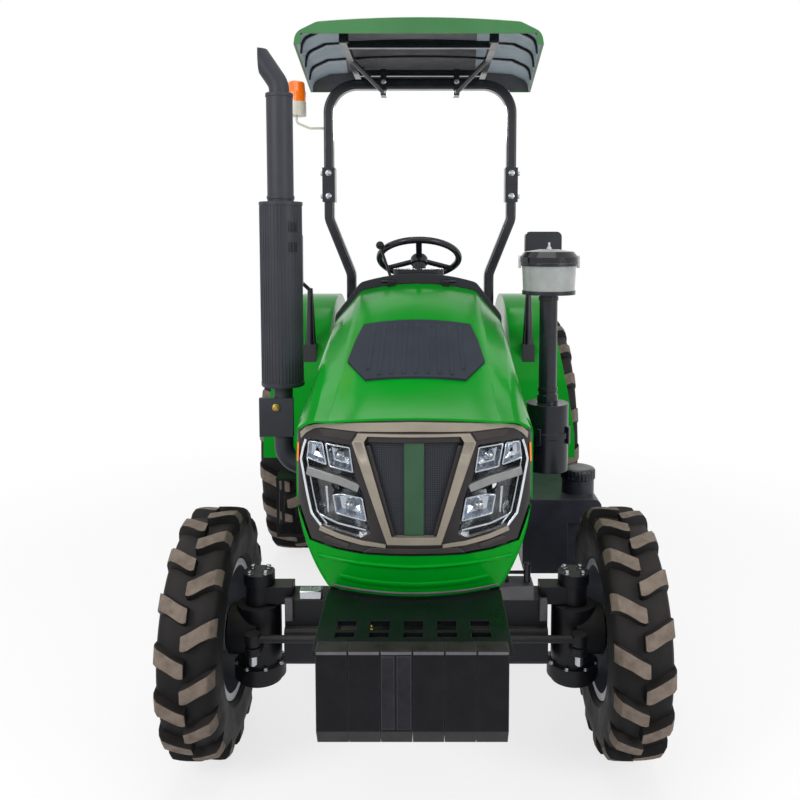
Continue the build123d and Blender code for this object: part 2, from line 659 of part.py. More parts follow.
def chin_form(inset, lift):
    """Solid inside the chin's skin, drawn in by an inset and open behind by a lift."""
    rear = FRONT_AXLE - 250 + lift
    wide = 0.96 * HOOD_HALF_WIDTH
    sweep_back = HOOD_NOSE_SWEEP + 10
    rows = [(CHIN_BOTTOM + inset, 0.755, -24), (800, 0.9, 4), (CHIN_TOP + 30 + lift, 1.0, 8)]
    sections = []
    for z, part, ahead in rows:
        reach = HOOD_NOSE + ahead - inset
        sections.append(nose_outline(reach, sweep_back, part * wide - inset, rear, z))
    return loft(sections)


def chin():
    """Lower front cover, bowl-shaped, open above and behind."""
    side = block((-500, 500), (PANEL_FRONT - CHIN_NOTCH, FRONT_AXLE), (CHIN_SIDE_TOP, 2000))
    return chin_form(0, 0) - chin_form(SHEET, 20) - seam_wedge(0) - side


def exhaust():
    """Elbow from the engine, muffler, stack and its narrower, bent tip."""
    y = FRONT_AXLE + EXHAUST_STATION
    elbow = [(-ENGINE_HALF_WIDTH, y, 820), (EXHAUST_X, y, 820), (EXHAUST_X, y, MUFFLER_BOTTOM + 20)]
    part = bent_bar(34, elbow, 70)
    part += rod_z(60, EXHAUST_X, y, (MUFFLER_BOTTOM + 10, MUFFLER_TOP - 10))
    part += block((EXHAUST_X - 80, EXHAUST_X + 40), (y - 40, y - 20), (930, MUFFLER_BOTTOM - 40))
    part += block((EXHAUST_X - 20, EXHAUST_X + 20), (y - 30, y), (950, MUFFLER_BOTTOM - 60))
    shoulder = STACK_TOP - TIP_HEIGHT
    part += rod_z(STACK_RADIUS, EXHAUST_X, y, (MUFFLER_TOP - 40, shoulder))
    tip = [(EXHAUST_X, y, shoulder - 60), (EXHAUST_X, y, shoulder + 30)]
    tip += [(EXHAUST_X - 1.6 * TIP_REACH, y, STACK_TOP + 40)]
    part += bent_bar(TIP_RADIUS, tip, 70)
    side = block((-900, EXHAUST_X - TIP_REACH), (y - 90, y + 90), (shoulder, STACK_TOP + 200))
    cut = block((-900, 0), (y - 90, y + 90), (STACK_TOP, STACK_TOP + 200))
    return part - bent_bar(TIP_RADIUS - 4, tip, 70) - side - cut


def muffler_shield():
    """Slotted sheet around the muffler."""
    y = FRONT_AXLE + EXHAUST_STATION
    outer = rod_z(MUFFLER_RADIUS, EXHAUST_X, y, (MUFFLER_BOTTOM, MUFFLER_TOP))
    shell = outer - rod_z(60, EXHAUST_X, y, (MUFFLER_BOTTOM + 10, MUFFLER_TOP - 10))
    shell -= rod_z(STACK_RADIUS, EXHAUST_X, y, (MUFFLER_TOP - 40, MUFFLER_TOP + 10))
    return shell - rod_z(34, EXHAUST_X, y, (MUFFLER_BOTTOM - 10, MUFFLER_BOTTOM + 40))


def air_cleaner():
    """Canister with its hose to the engine and the upright intake pipe."""
    y = FRONT_AXLE + EXHAUST_STATION
    part = rod_z(CANISTER_RADIUS, INTAKE_X, y, (CANISTER_BOTTOM, CANISTER_TOP))
    part += rod_z(CANISTER_RADIUS + 5, INTAKE_X, y, (CANISTER_TOP - 120, CANISTER_TOP - 100))
    part += rod_z(INTAKE_PIPE_RADIUS, INTAKE_X, y, (CANISTER_TOP, BOWL_BOTTOM))
    part += rod_z(0.94 * BOWL_RADIUS, INTAKE_X, y, (BOWL_BOTTOM - 14, BOWL_BOTTOM))
    part += rod_z(INTAKE_PIPE_RADIUS + 5, INTAKE_X, y, (CANISTER_TOP, CANISTER_TOP + 30))
    return part + rod_x(36, (ENGINE_HALF_WIDTH, INTAKE_X), y, CANISTER_BOTTOM + 42)


def precleaner_bowl():
    """Clear dust bowl on top of the intake pipe."""
    y = FRONT_AXLE + EXHAUST_STATION
    height = BOWL_TOP - BOWL_BOTTOM
    return Pos(INTAKE_X, y, BOWL_BOTTOM + height / 2) * Cone(0.91 * BOWL_RADIUS, BOWL_RADIUS - 4, height)


def precleaner_lid():
    """Low lid with a sloped edge."""
    y = FRONT_AXLE + EXHAUST_STATION
    r = 1.03 * BOWL_RADIUS
    rise = [(0, BOWL_TOP), (r, BOWL_TOP), (r, BOWL_TOP + 18), (0.84 * r, BOWL_TOP + 38)]
    rise += [(0.3 * r, BOWL_TOP + 46), (0, BOWL_TOP + 46)]
    face = make_face(Plane.XZ * Polyline(*rise, close=True))
    return Pos(INTAKE_X, y, 0) * revolve(face, axis=Axis.Z)


def fuel_tank():
    """Moulded tank with a step in its front and a sloped filler neck."""
    y0 = FRONT_AXLE + TANK_STATION
    y1 = y0 + TANK_LENGTH
    body = block((TANK_INNER, TANK_OUTER), (y0, y1), (TANK_BOTTOM, TANK_TOP))
    body = fillet(body.edges().filter_by(Axis.Y), 28)
    body -= block((TANK_OUTER - 128, TANK_OUTER + 1), (y0 - 1, y0 + 40), (TANK_BOTTOM - 1, TANK_TOP - 90))
    neck = rod_z(62, TANK_OUTER - 72, y0 + 110, (TANK_TOP - 20, TANK_TOP + 54))
    return body + neck


def fuel_cap():
    """Filler cap on the tank's neck."""
    y = FRONT_AXLE + TANK_STATION + 110
    z = TANK_TOP + 54
    return rod_z(67, TANK_OUTER - 72, y, (z, z + 44))


def platform():
    """Floor plate with a step under each side."""
    y0 = FRONT_AXLE + HOOD_REAR + 100
    y_well = REAR_AXLE - FENDER_RADIUS - 12
    y1 = REAR_AXLE - 230
    top = PLATFORM_Z + PLATFORM_THICK
    part = block((-PLATFORM_HALF_WIDTH, PLATFORM_HALF_WIDTH), (y0, y_well), (PLATFORM_Z, top))
    part += block((-WHEEL_WELL, WHEEL_WELL), (y0, y1), (PLATFORM_Z, top))
    for side in (1, -1):
        x0 = side * (PLATFORM_HALF_WIDTH - 130)
        x1 = side * PLATFORM_HALF_WIDTH
        for y in (y0 + 12, y_well - 24):
            part += block((x0, x0 + side * 12), (y, y + 12), (350, top))
            part += block((x1, x1 - side * 12), (y, y + 12), (350, top))
        part += block((x0, x1), (y0 + 12, y_well - 12), (350, 362))
    tunnel = block((-GEARBOX_HALF_WIDTH, GEARBOX_HALF_WIDTH), (y0 - 1, y1 + 1), (PLATFORM_Z - 1, top + 1))
    return part - tunnel


def dash():
    """Cowl behind the hood, instrument hump and the steering column's foot."""
    y0 = HOOD_REAR + COWL_GAP
    z = HOOD_REAR_TOP
    w = HOOD_HALF_WIDTH
    front = hood_section(y0, w + 8, z - 130, 0.71 * w, z + 4, z + 40, 0, GEARBOX_TOP)
    back = hood_section(y0 + 170, 0.72 * w, z - 190, 0.46 * w, z - 40, z - 24, 0, GEARBOX_TOP)
    cowl = loft([front, back], ruled=True)
    y = FRONT_AXLE + y0
    hump = soft_block((-DASH_HUMP, DASH_HUMP), (y + 40, y + 165), (z - 80, z + 56), 40)
    foot = block((-150, 150), (y + 20, y + 230), (GEARBOX_TOP, z - 160))
    tilt = math.radians(WHEEL_RING_TILT)
    axis = (0, math.sin(tilt), math.cos(tilt))
    ring = (0, FRONT_AXLE + WHEEL_RING_STATION, WHEEL_RING_Z)
    top = tuple(c - (WHEEL_HUB + FACE_GAP) * a for c, a in zip(ring, axis))
    low = tuple(c - 420 * a for c, a in zip(ring, axis))
    part = cowl + hump + foot + bar(30, low, top)
    for side in (1, -1):
        x = sorted((side * (124 + FACE_GAP), side * 152))
        yh = FRONT_AXLE + HOOD_REAR + HINGE_LINE
        part += rod_x(HINGE_RADIUS, x, yh, HINGE_Z)
        part += block(x, (yh, y + 20), (HINGE_Z - 26, HINGE_Z))
    return part


def steering_wheel():
    """Ring, three spokes and hub with its shaft in the column."""
    ring = Torus(WHEEL_RING_RADIUS, WHEEL_RING_TUBE)
    hub = Pos(0, 0, -WHEEL_HUB / 2) * Cylinder(38, WHEEL_HUB)
    spoke = Pos(WHEEL_RING_RADIUS / 2, 0, -8) * Box(WHEEL_RING_RADIUS, 26, 12)
    part = ring + hub + [Rot(0, 0, a) * spoke for a in (-90, 30, 150)]
    tilt = Rot(-WHEEL_RING_TILT, 0, 0)
    return Pos(0, FRONT_AXLE + WHEEL_RING_STATION, WHEEL_RING_Z) * tilt * part


def controls():
    """Hand levers beside the column and the seat, and the foot pedals."""
    y = FRONT_AXLE + HOOD_REAR
    z = HOOD_REAR_TOP
    lever = rod_x(12, (-DASH_HUMP - 20, -DASH_HUMP), y + 120, z + 18)
    lever += bar(6, (-DASH_HUMP - 12, y + 120, z + 18), (-170, y + 270, z + 152))
    pieces = [lever + Pos(-170, y + 270, z + 152) * Sphere(18)]
    z = PLATFORM_Z + PLATFORM_THICK
    for x, reach in ((-330, 420), (330, 360)):
        stick = rod_z(22, x, y + 560, (z, z + 14)) + bar(9, (x, y + 560, z + 10), (x, y + 600, z + reach))
        pieces.append(stick + Pos(x, y + 600, z + reach) * Sphere(24))
    for x in (-230, 230):
        arm = rod_z(18, x, y + 190, (z, z + 14)) + bar(9, (x, y + 190, z + 10), (x, y + 250, z + 140))
        pieces.append(arm + block((x - 45, x + 45), (y + 240, y + 252), (z + 100, z + 190)))
    return Compound(pieces)


def seat_frame():
    """Seat pan and its stand on the lift cover."""
    y = REAR_AXLE
    half = SEAT_HALF_WIDTH - 20
    pan = block((-half, half), (y - 300, y + 110), (SEAT_Z - 80, SEAT_Z - 60))
    back = block((10 - half, half - 10), (y + 110, y + 124), (SEAT_Z - 80, SEAT_BACK_TOP - 60))
    stand = block((-120, 120), (y - 180, y + 40), (LIFT_COVER_TOP, SEAT_Z - 70))
    legs = block((-140, 140), (y - 300, y - 240), (GEARBOX_TOP, SEAT_Z - 80))
    return pan + back + legs + stand


def seat_pads():
    """Cushion and backrest pad."""
    y = REAR_AXLE
    w = SEAT_HALF_WIDTH
    cushion = fillet(block((-w, w), (y - 300, y + 50), (SEAT_Z - 60, SEAT_Z + 20)).edges(), 26)
    back = fillet(block((-w, w), (y + 60, y + 110), (SEAT_Z + 30, SEAT_BACK_TOP)).edges(), 20)
    return Compound([cushion, back])


def fender():
    """Left fender: arched cover over the tyre with its inner wall."""
    y = REAR_AXLE
    z = REAR_AXLE_Z
    arch = rod_x(FENDER_RADIUS, (WHEEL_WELL, FENDER_OUTER), y, z)
    arch -= rod_x(FENDER_RADIUS - SHEET, (WHEEL_WELL - 1, FENDER_OUTER + 1), y, z)
    wall = rod_x(FENDER_RADIUS, (WHEEL_WELL, WHEEL_WELL + SHEET), y, z)
    r = FENDER_RADIUS
    far = 1.25 * r
    arch &= side_plate((WHEEL_WELL, FENDER_OUTER), [
        (y, z), (y - far, z + 0.07 * far), (y - far, z + far), (y + far, z + far), (y + far, z + 0.78 * far),
    ])
    wall &= side_plate((WHEEL_WELL, WHEEL_WELL + SHEET), [
        (y - far, z - 20), (y - 0.45 * r, z - 20), (y - 0.45 * r, z + 0.15 * r), (y + 0.19 * r, z + 0.15 * r),
        (y + far, z + 0.78 * far), (y + far, z + far), (y - far, z + far),
    ])
    width = FENDER_OUTER - WHEEL_WELL
    front = [(WHEEL_WELL, z - 0.41 * r), (FENDER_OUTER, z - 0.41 * r), (FENDER_OUTER, z + 0.215 * r)]
    front += [(FENDER_OUTER - 0.225 * width, z + 0.9 * r), (FENDER_OUTER - 0.516 * width, z + far)]
    front += [(WHEEL_WELL, z + far)]
    return (arch + wall) & front_plate((y - far, y + far), front)


def tail_lamps():
    """Lamp blocks on the fenders' rear."""
    angle = math.radians(50)
    r = FENDER_RADIUS
    y = REAR_AXLE + r * math.cos(angle)
    z = REAR_AXLE_Z + r * math.sin(angle)
    width = FENDER_OUTER - WHEEL_WELL
    x = (WHEEL_WELL + 0.13 * width, WHEEL_WELL + 0.645 * width)
    lamp = block(x, (y - 40, y + 50), (z - 40, z + 40))
    return pair(lamp - rod_x(r, (WHEEL_WELL, FENDER_OUTER), REAR_AXLE, REAR_AXLE_Z))


def rops_bar(points, corner):
    """Roll bar tube along points (x, z) in its upright plane."""
    y = REAR_AXLE + ROPS_STATION
    path = FilletPolyline(*[(x, y, z) for x, z in points], radius=corner)
    section = RectangleRounded(ROPS_TUBE, ROPS_DEPTH, 10)
    start = Plane(path @ 0, x_dir=(1, 0, 0), z_dir=path % 0)
    return sweep(start * section, path=path)


def rops_posts():
    """Lower posts on feet that straddle the axle tubes, with splice sleeves on top."""
    y = REAR_AXLE + ROPS_STATION
    points = [(ROPS_FOOT, REAR_AXLE_Z + 60), (ROPS_FOOT, 1440), (ROPS_HALF_WIDTH, 1730)]
    post = rops_bar(points + [(ROPS_HALF_WIDTH, ROPS_SPLICE)], 90)
    foot = block((ROPS_FOOT - 40, ROPS_FOOT + 40), (y - 100, y + 50), (REAR_AXLE_Z, REAR_AXLE_Z + 130))
    half_x = ROPS_TUBE / 2 + 8
    half_y = ROPS_DEPTH / 2 + 8
    x = ROPS_HALF_WIDTH
    z = (ROPS_SPLICE - ROPS_SLEEVE, ROPS_SPLICE)
    sleeve = block((x - half_x, x + half_x), (y - half_y, y + half_y), z)
    part = post + foot + sleeve
    return pair(part - rod_x(AXLE_TUBE_RADIUS, (200, 600), REAR_AXLE, REAR_AXLE_Z))


def rops_hoop():
    """Upper hoop bolted on the posts' sleeves."""
    z = ROPS_SPLICE
    w = ROPS_HALF_WIDTH
    y = REAR_AXLE + ROPS_STATION
    hoop = rops_bar([(-w, z), (-w, ROPS_TOP), (w, ROPS_TOP), (w, z)], ROPS_CORNER)
    half_x = ROPS_TUBE / 2 + 8
    half_y = ROPS_DEPTH / 2 + 8
    for side in (1, -1):
        x = side * w
        hoop += block((x - half_x, x + half_x), (y - half_y, y + half_y), (z, z + ROPS_SLEEVE))
    return hoop


def canopy_section(station, half_width, top, inset, bottom):
    """Cross-section of the canopy: arched top with turned-down sides."""
    w = half_width - inset
    zt = top - inset
    left = [(-w, bottom), (-w + 8, zt - 60), (-w + 96, zt - 18)]
    right = [(-x, z) for x, z in reversed(left)]
    outline = Polyline(*left) + ThreePointArc(left[-1], (0, zt), right[0]) + Polyline(*right)
    outline += Line(right[-1], left[0])
    face = make_face(outline)
    corners = face.vertices().filter_by(lambda v: v.Y > bottom + 1)
    return Plane.XZ.offset(-(REAR_AXLE + station)) * fillet(corners, 52)


def canopy_form(inset, bottom):
    """Solid under the canopy's skin, drawn in by an inset."""
    length = CANOPY_REAR - CANOPY_FRONT
    gain = CANOPY_REAR_HALF_WIDTH - CANOPY_FRONT_HALF_WIDTH
    sections = []
    for along, drop in ((0.0, 40), (0.1, 8), (0.5, 0), (1.0, 22)):
        station = CANOPY_FRONT + inset + (length - 2 * inset) * along
        half = CANOPY_FRONT_HALF_WIDTH + gain * along
        sections.append(canopy_section(station, half, CANOPY_TOP - drop, inset, bottom))
    return loft(sections, ruled=True)


def canopy():
    """Moulded roof, open below, with a turned-down lip at front and rear."""
    shell = canopy_form(0, CANOPY_EDGE) - canopy_form(CANOPY_SHELL, CANOPY_EDGE - 10)
    y = REAR_AXLE
    reach = CANOPY_FRONT_HALF_WIDTH - 30
    for station in (CANOPY_FRONT, CANOPY_REAR):
        end = (y + station - 30, y + station + 30)
        shell -= block((-reach, reach), end, (CANOPY_EDGE - 20, CANOPY_TOP - 105))
    return shell


def canopy_frame():
    """Rails under the roof, braced to the roll bar by clamped brackets."""
    y = REAR_AXLE
    z = ROPS_TOP + ROPS_TUBE / 2
    rail = block((315, 345), (y + CANOPY_FRONT + 90, y + CANOPY_REAR - 60), (z + 20, z + 50))
    for station in (CANOPY_FRONT + 140, CANOPY_REAR - 120):
        rail += block((310, 350), (y + station - 20, y + station + 20), (z + 30, CANOPY_TOP))
    ys = y + ROPS_STATION
    half = ROPS_DEPTH / 2
    rail += block((175, 205), (ys - half - 10, ys + half + 10), (z - ROPS_TUBE - 34, z + 50))
    rail += bar(12, (190, ys - half, z - ROPS_TUBE - 20), (330, y + CANOPY_FRONT + 480, z + 32))
    part = rail + mirror(rail, about=Plane.YZ)
    for station in (CANOPY_FRONT + 200, ROPS_STATION, CANOPY_REAR - 100):
        part += block((-330, 330), (y + station - 15, y + station + 15), (z + 20, z + 50))
    part &= canopy_form(CANOPY_SHELL, z - 200)
    return part - block((-400, 400), (ys - half, ys + half), (z - ROPS_TUBE, z))


def beacon_base():
    """Beacon foot and its bent bar to the roll bar."""
    y = REAR_AXLE + ROPS_STATION
    z = BEACON_BOTTOM
    post = -(ROPS_HALF_WIDTH + ROPS_TUBE / 2)
    foot = rod_z(BEACON_RADIUS + 2, BEACON_X, y, (z, z + BEACON_FOOT))
    run = [(BEACON_X, y, z + 10), (BEACON_X, y, z - 36), (BEACON_X + 70, y, z - 64)]
    return foot + bent_bar(6, run + [(post, y, z - 64)], 24)


def beacon_lens():
    """Stepped lens of the beacon."""
    y = REAR_AXLE + ROPS_STATION
    z = BEACON_BOTTOM + BEACON_FOOT
    h = BEACON_LENS
    r = BEACON_RADIUS
    profile = [(0, z), (r, z), (r, z + 0.48 * h), (0.9 * r, z + 0.54 * h)]
    profile += [(0.86 * r, z + 0.91 * h), (0.6 * r, z + h), (0, z + h)]
    face = make_face(Plane.XZ * Polyline(*profile, close=True))
    return Pos(BEACON_X, y, 0) * revolve(face, axis=Axis.Z)


def mirror_unit(x, lean):
    """Mirror head on a stalk that stands on the fender."""
    back = 0.735 * FENDER_RADIUS
    y = REAR_AXLE - back
    z = REAR_AXLE_Z + math.sqrt(FENDER_RADIUS ** 2 - back ** 2)
    foot = block((x - 28, x + 28), (y - 34, y + 34), (z - 60, z + 40))
    foot -= rod_x(FENDER_RADIUS, (-900, 900), REAR_AXLE, REAR_AXLE_Z)
    stalk = foot + Pos(x, y, z + 165) * Cone(26, 12, 270)
    stalk += bar(9, (x, y, z + 290), (x + lean, y - 70, z + 400))
    head = block((x + lean - 82, x + lean + 82), (y - 90, y - 50), (z + 300, z + 560))
    return stalk + fillet(head.edges().filter_by(Axis.Y), 24)


def mirrors():
    """Both mirrors, the right one leaning further out."""
    return Compound([mirror_unit(505, 55), mirror_unit(-505, -105)])


def rock_arms():
    """Lift shaft across the cover with an arm at each end."""
    y = REAR_AXLE + ROCK_STATION
    drop = math.radians(ROCK_DROP)
    ye = y + ROCK_ARM * math.cos(drop)
    ze = ROCK_Z - ROCK_ARM * math.sin(drop)
    part = rod_x(25, (-ROCK_FACE, ROCK_FACE), y, ROCK_Z)
    for side in (1, -1):
        x = (side * (150 + MOVE_GAP), side * ROCK_FACE)
        part += rod_x(38, sorted(x), y, ROCK_Z) + rod_x(28, sorted(x), ye, ze)
        part += side_plate(x, [(y, ROCK_Z - 38), (y, ROCK_Z + 38), (ye, ze + 26), (ye, ze - 26)])
    return part


def link_point(along, x):
    """Point on the left lower link's line, by distance from its pivot."""
    drop = math.radians(LINK_DROP)
    y = REAR_AXLE + LINK_PIVOT_STATION + along * math.cos(drop)
    return (x, y, LINK_PIVOT_Z - along * math.sin(drop))


def link_length():
    """Lower link's pivot to the middle of its end eye."""
    return (LINK_REACH - LINK_EYE - LINK_PIVOT_STATION) / math.cos(math.radians(LINK_DROP))


def lower_link():
    """Left lower link: bored eyes on a bar that runs outward to the rear."""
    length = link_length()
    x0 = LINK_PIVOT_X
    x1 = LINK_END_X
    start = link_point(0, x0)
    end = link_point(length, x1)
    front = rod_x(34, (x0 - 12, x0 + 12), start[1], start[2])
    rear = rod_x(LINK_EYE, (x1 - 22, x1 + 22), end[1], end[2])
    path = Line(start, end)
    shank = sweep(Plane(path @ 0, x_dir=(1, 0, 0), z_dir=path % 0) * Rectangle(20, 52), path=path)
    part = front + rear + shank
    part -= rod_x(14 + SHAFT_GAP, (x0 - 20, x0 + 20), start[1], start[2])
    return part - rod_x(LINK_BORE, (x1 - 40, x1 + 40), end[1], end[2])


def lower_links():
    """Both lower links."""
    return pair(lower_link())


def lift_rods():
    """Rods from the rock arms' ends down to the lower links."""
    y = REAR_AXLE + ROCK_STATION
    drop = math.radians(ROCK_DROP)
    face = ROCK_FACE + FACE_GAP
    top = (face + 14, y + ROCK_ARM * math.cos(drop), ROCK_Z - ROCK_ARM * math.sin(drop))
    along = 0.55 * link_length()
    x = LINK_PIVOT_X + 0.55 * (LINK_END_X - LINK_PIVOT_X) - 26
    low = link_point(along, x)
    part = bar(14, top, low)
    part += rod_x(26, (face, face + 28), top[1], top[2])
    part += rod_x(26, (x - 12, x + 12), low[1], low[2])
    return pair(part)


def drawbar():
    """Drawbar under the rear housing, bored for a pin."""
    y1 = REAR_AXLE + REAR_HOUSING_TAIL
    z = REAR_AXLE_Z - 190
    tongue = block((-40, 40), (y1 - 300, y1 + 360), (z - 40, z - 12))
    hanger = block((-60, 60), (y1 - 60, y1), (z - 12, z))
    stay = block((-60, 60), (y1 - 300, y1 - 240), (z - 12, z))
    tongue = fillet(tongue.edges().filter_by(Axis.Z).sort_by(Axis.Y)[-2:], 36)
    return tongue + hanger + stay - rod_z(DRAWBAR_BORE, 0, y1 + 310, (z - 50, z))


def pto():
    """Power take-off shaft under its guard."""
    y1 = REAR_AXLE + REAR_HOUSING_TAIL
    guard = block((-110, 110), (y1, y1 + 110), (PTO_Z + 80, PTO_Z + 88))
    for side in (1, -1):
        guard += block((side * 102, side * 110), (y1, y1 + 110), (PTO_Z - 60, PTO_Z + 88))
    guard += block((-110, 110), (y1, y1 + 8), (PTO_Z - 60, PTO_Z + 88))
    return guard + rod_y(PTO_RADIUS, 0, (y1, y1 + 96), PTO_Z)


def main():
    os.makedirs("parts", exist_ok=True)
    front_tyre, front_rim = front_wheel_parts()
    rear_tyre, rear_rim = rear_wheel_parts()
    left_knuckle = knuckle()
    left_fender = fender()
    skin = hood_skin()
    pieces = {
        "front_axle": front_axle(), "steering_cylinder": steering_cylinder(), "steering_rod": steering_rod(),
        "front_frame": front_frame(), "front_weights": front_weights(), "engine": engine(),
        "radiator": radiator(), "gearbox": gearbox(), "axle_tubes": axle_tubes(), "hood_top": hood_top(skin),
        "hood_sides": hood_sides(skin), "hood_vent": hood_vent(), "fascia": fascia(), "grille": grille(),
        "headlamps": headlamps(), "chin": chin(), "exhaust": exhaust(), "muffler_shield": muffler_shield(),
        "air_cleaner": air_cleaner(), "precleaner_bowl": precleaner_bowl(),
        "precleaner_lid": precleaner_lid(),
        "fuel_tank": fuel_tank(), "fuel_cap": fuel_cap(), "platform": platform(), "dash": dash(),
        "steering_wheel": steering_wheel(), "controls": controls(), "seat_frame": seat_frame(),
        "seat_pads": seat_pads(), "tail_lamps": tail_lamps(), "rops_posts": rops_posts(),
        "rops_hoop": rops_hoop(), "canopy": canopy(), "canopy_frame": canopy_frame(),
        "beacon_base": beacon_base(), "beacon_lens": beacon_lens(), "mirrors": mirrors(),
        "rock_arms": rock_arms(), "lower_links": lower_links(), "lift_rods": lift_rods(),
        "drawbar": drawbar(), "pto": pto(),
    }
    handed = {
        "front_tyre": front_tyre, "front_rim": front_rim, "rear_tyre": rear_tyre, "rear_rim": rear_rim,
        "knuckle": left_knuckle, "fender": left_fender,
    }
    for name, part in handed.items():
        pieces[name + "_left"] = part
        pieces[name + "_right"] = mirror(part, about=Plane.YZ)
    for name, part in pieces.items():
        export_step(part, f"parts/{name}.step")


main()
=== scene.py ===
"""Looks of a compact farm tractor with roll bar and canopy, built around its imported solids.

Lengths are metres in the frame of the solids: forward is -Y, the driver's left is +X, up is +Z.
"""

import logging
import math
from dataclasses import dataclass
from enum import Enum
from typing import Sequence

import bmesh
import bpy
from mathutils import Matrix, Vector


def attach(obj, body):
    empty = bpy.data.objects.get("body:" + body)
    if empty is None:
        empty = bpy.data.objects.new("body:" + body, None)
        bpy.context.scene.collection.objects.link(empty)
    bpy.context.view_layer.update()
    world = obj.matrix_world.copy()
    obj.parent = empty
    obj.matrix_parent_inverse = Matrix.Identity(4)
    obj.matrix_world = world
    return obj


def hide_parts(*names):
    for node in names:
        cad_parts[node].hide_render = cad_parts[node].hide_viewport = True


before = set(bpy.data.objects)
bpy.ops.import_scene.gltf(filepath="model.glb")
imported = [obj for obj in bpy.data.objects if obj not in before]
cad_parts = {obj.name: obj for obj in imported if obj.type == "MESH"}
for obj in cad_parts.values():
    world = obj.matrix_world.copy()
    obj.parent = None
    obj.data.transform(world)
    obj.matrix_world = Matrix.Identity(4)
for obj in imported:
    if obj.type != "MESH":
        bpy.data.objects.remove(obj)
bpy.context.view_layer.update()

LOG = logging.getLogger("tractor")
FRONT_AXLE = -0.93
REAR_AXLE = 0.86
SIDES = {"left": 1, "right": -1}
FRONT_TYRE_WIDTH = 0.184
Point = Sequence[float]
TINY = 1e-5
FLUTE_DEPTH = 0.003
COAT_ROUGHNESS = 0.06
MOTTLE_SPAN = {1: 0.38, 2: 0.68}
EDGE_TINT_SPAN = {1: 0.97, 2: 0.75}
DUST_SPAN = {1: 0.1, 2: 0.95}
GLOSS_SPAN = {1: 0.3, 2: 0.7}
HOLE_SPAN = {1: 0.26, 2: 0.36}
HOLE_SHADE_COLOUR = "#050608"


def linear(colour: str) -> tuple[float, float, float, float]:
    """Turns an sRGB hex colour into linear values.

    Args:
        colour: six hex digits after a hash sign.

    Returns:
        Red, green, blue and an alpha of one.
    """
    parts = [int(colour[i:i + 2], 16) / 255 for i in (1, 3, 5)]
    red, green, blue = [c / 12.92 if c <= 0.04045 else ((c + 0.055) / 1.055) ** 2.4 for c in parts]
    return red, green, blue, 1.0


def add_node(tree: bpy.types.NodeTree, kind: str, settings: dict | None = None,
             inputs: dict | None = None) -> bpy.types.Node:
    """Adds a node with its settings and links.

    Args:
        tree: the node tree that gets the node.
        kind: the node's Blender type.
        settings: attribute values of the node.
        inputs: socket values by name or number; an output socket is linked.

    Returns:
        The new node.
    """
    node = tree.nodes.new(kind)
    for key, value in (settings or {}).items():
        setattr(node, key, value)
    for key, value in (inputs or {}).items():
        if isinstance(value, bpy.types.NodeSocket):
            tree.links.new(value, node.inputs[key])
        else:
            node.inputs[key].default_value = value
    return node


class Pattern(Enum):
    """Fine relief of a surface."""

    GRAIN = "even grain, as of spray, sand or moulding"
    CELLS = "pebbled cells, as of embossed vinyl"
    HOLES = "rows of round holes, as of punched sheet"
    LINES = "fine lines round a turned or brushed part"


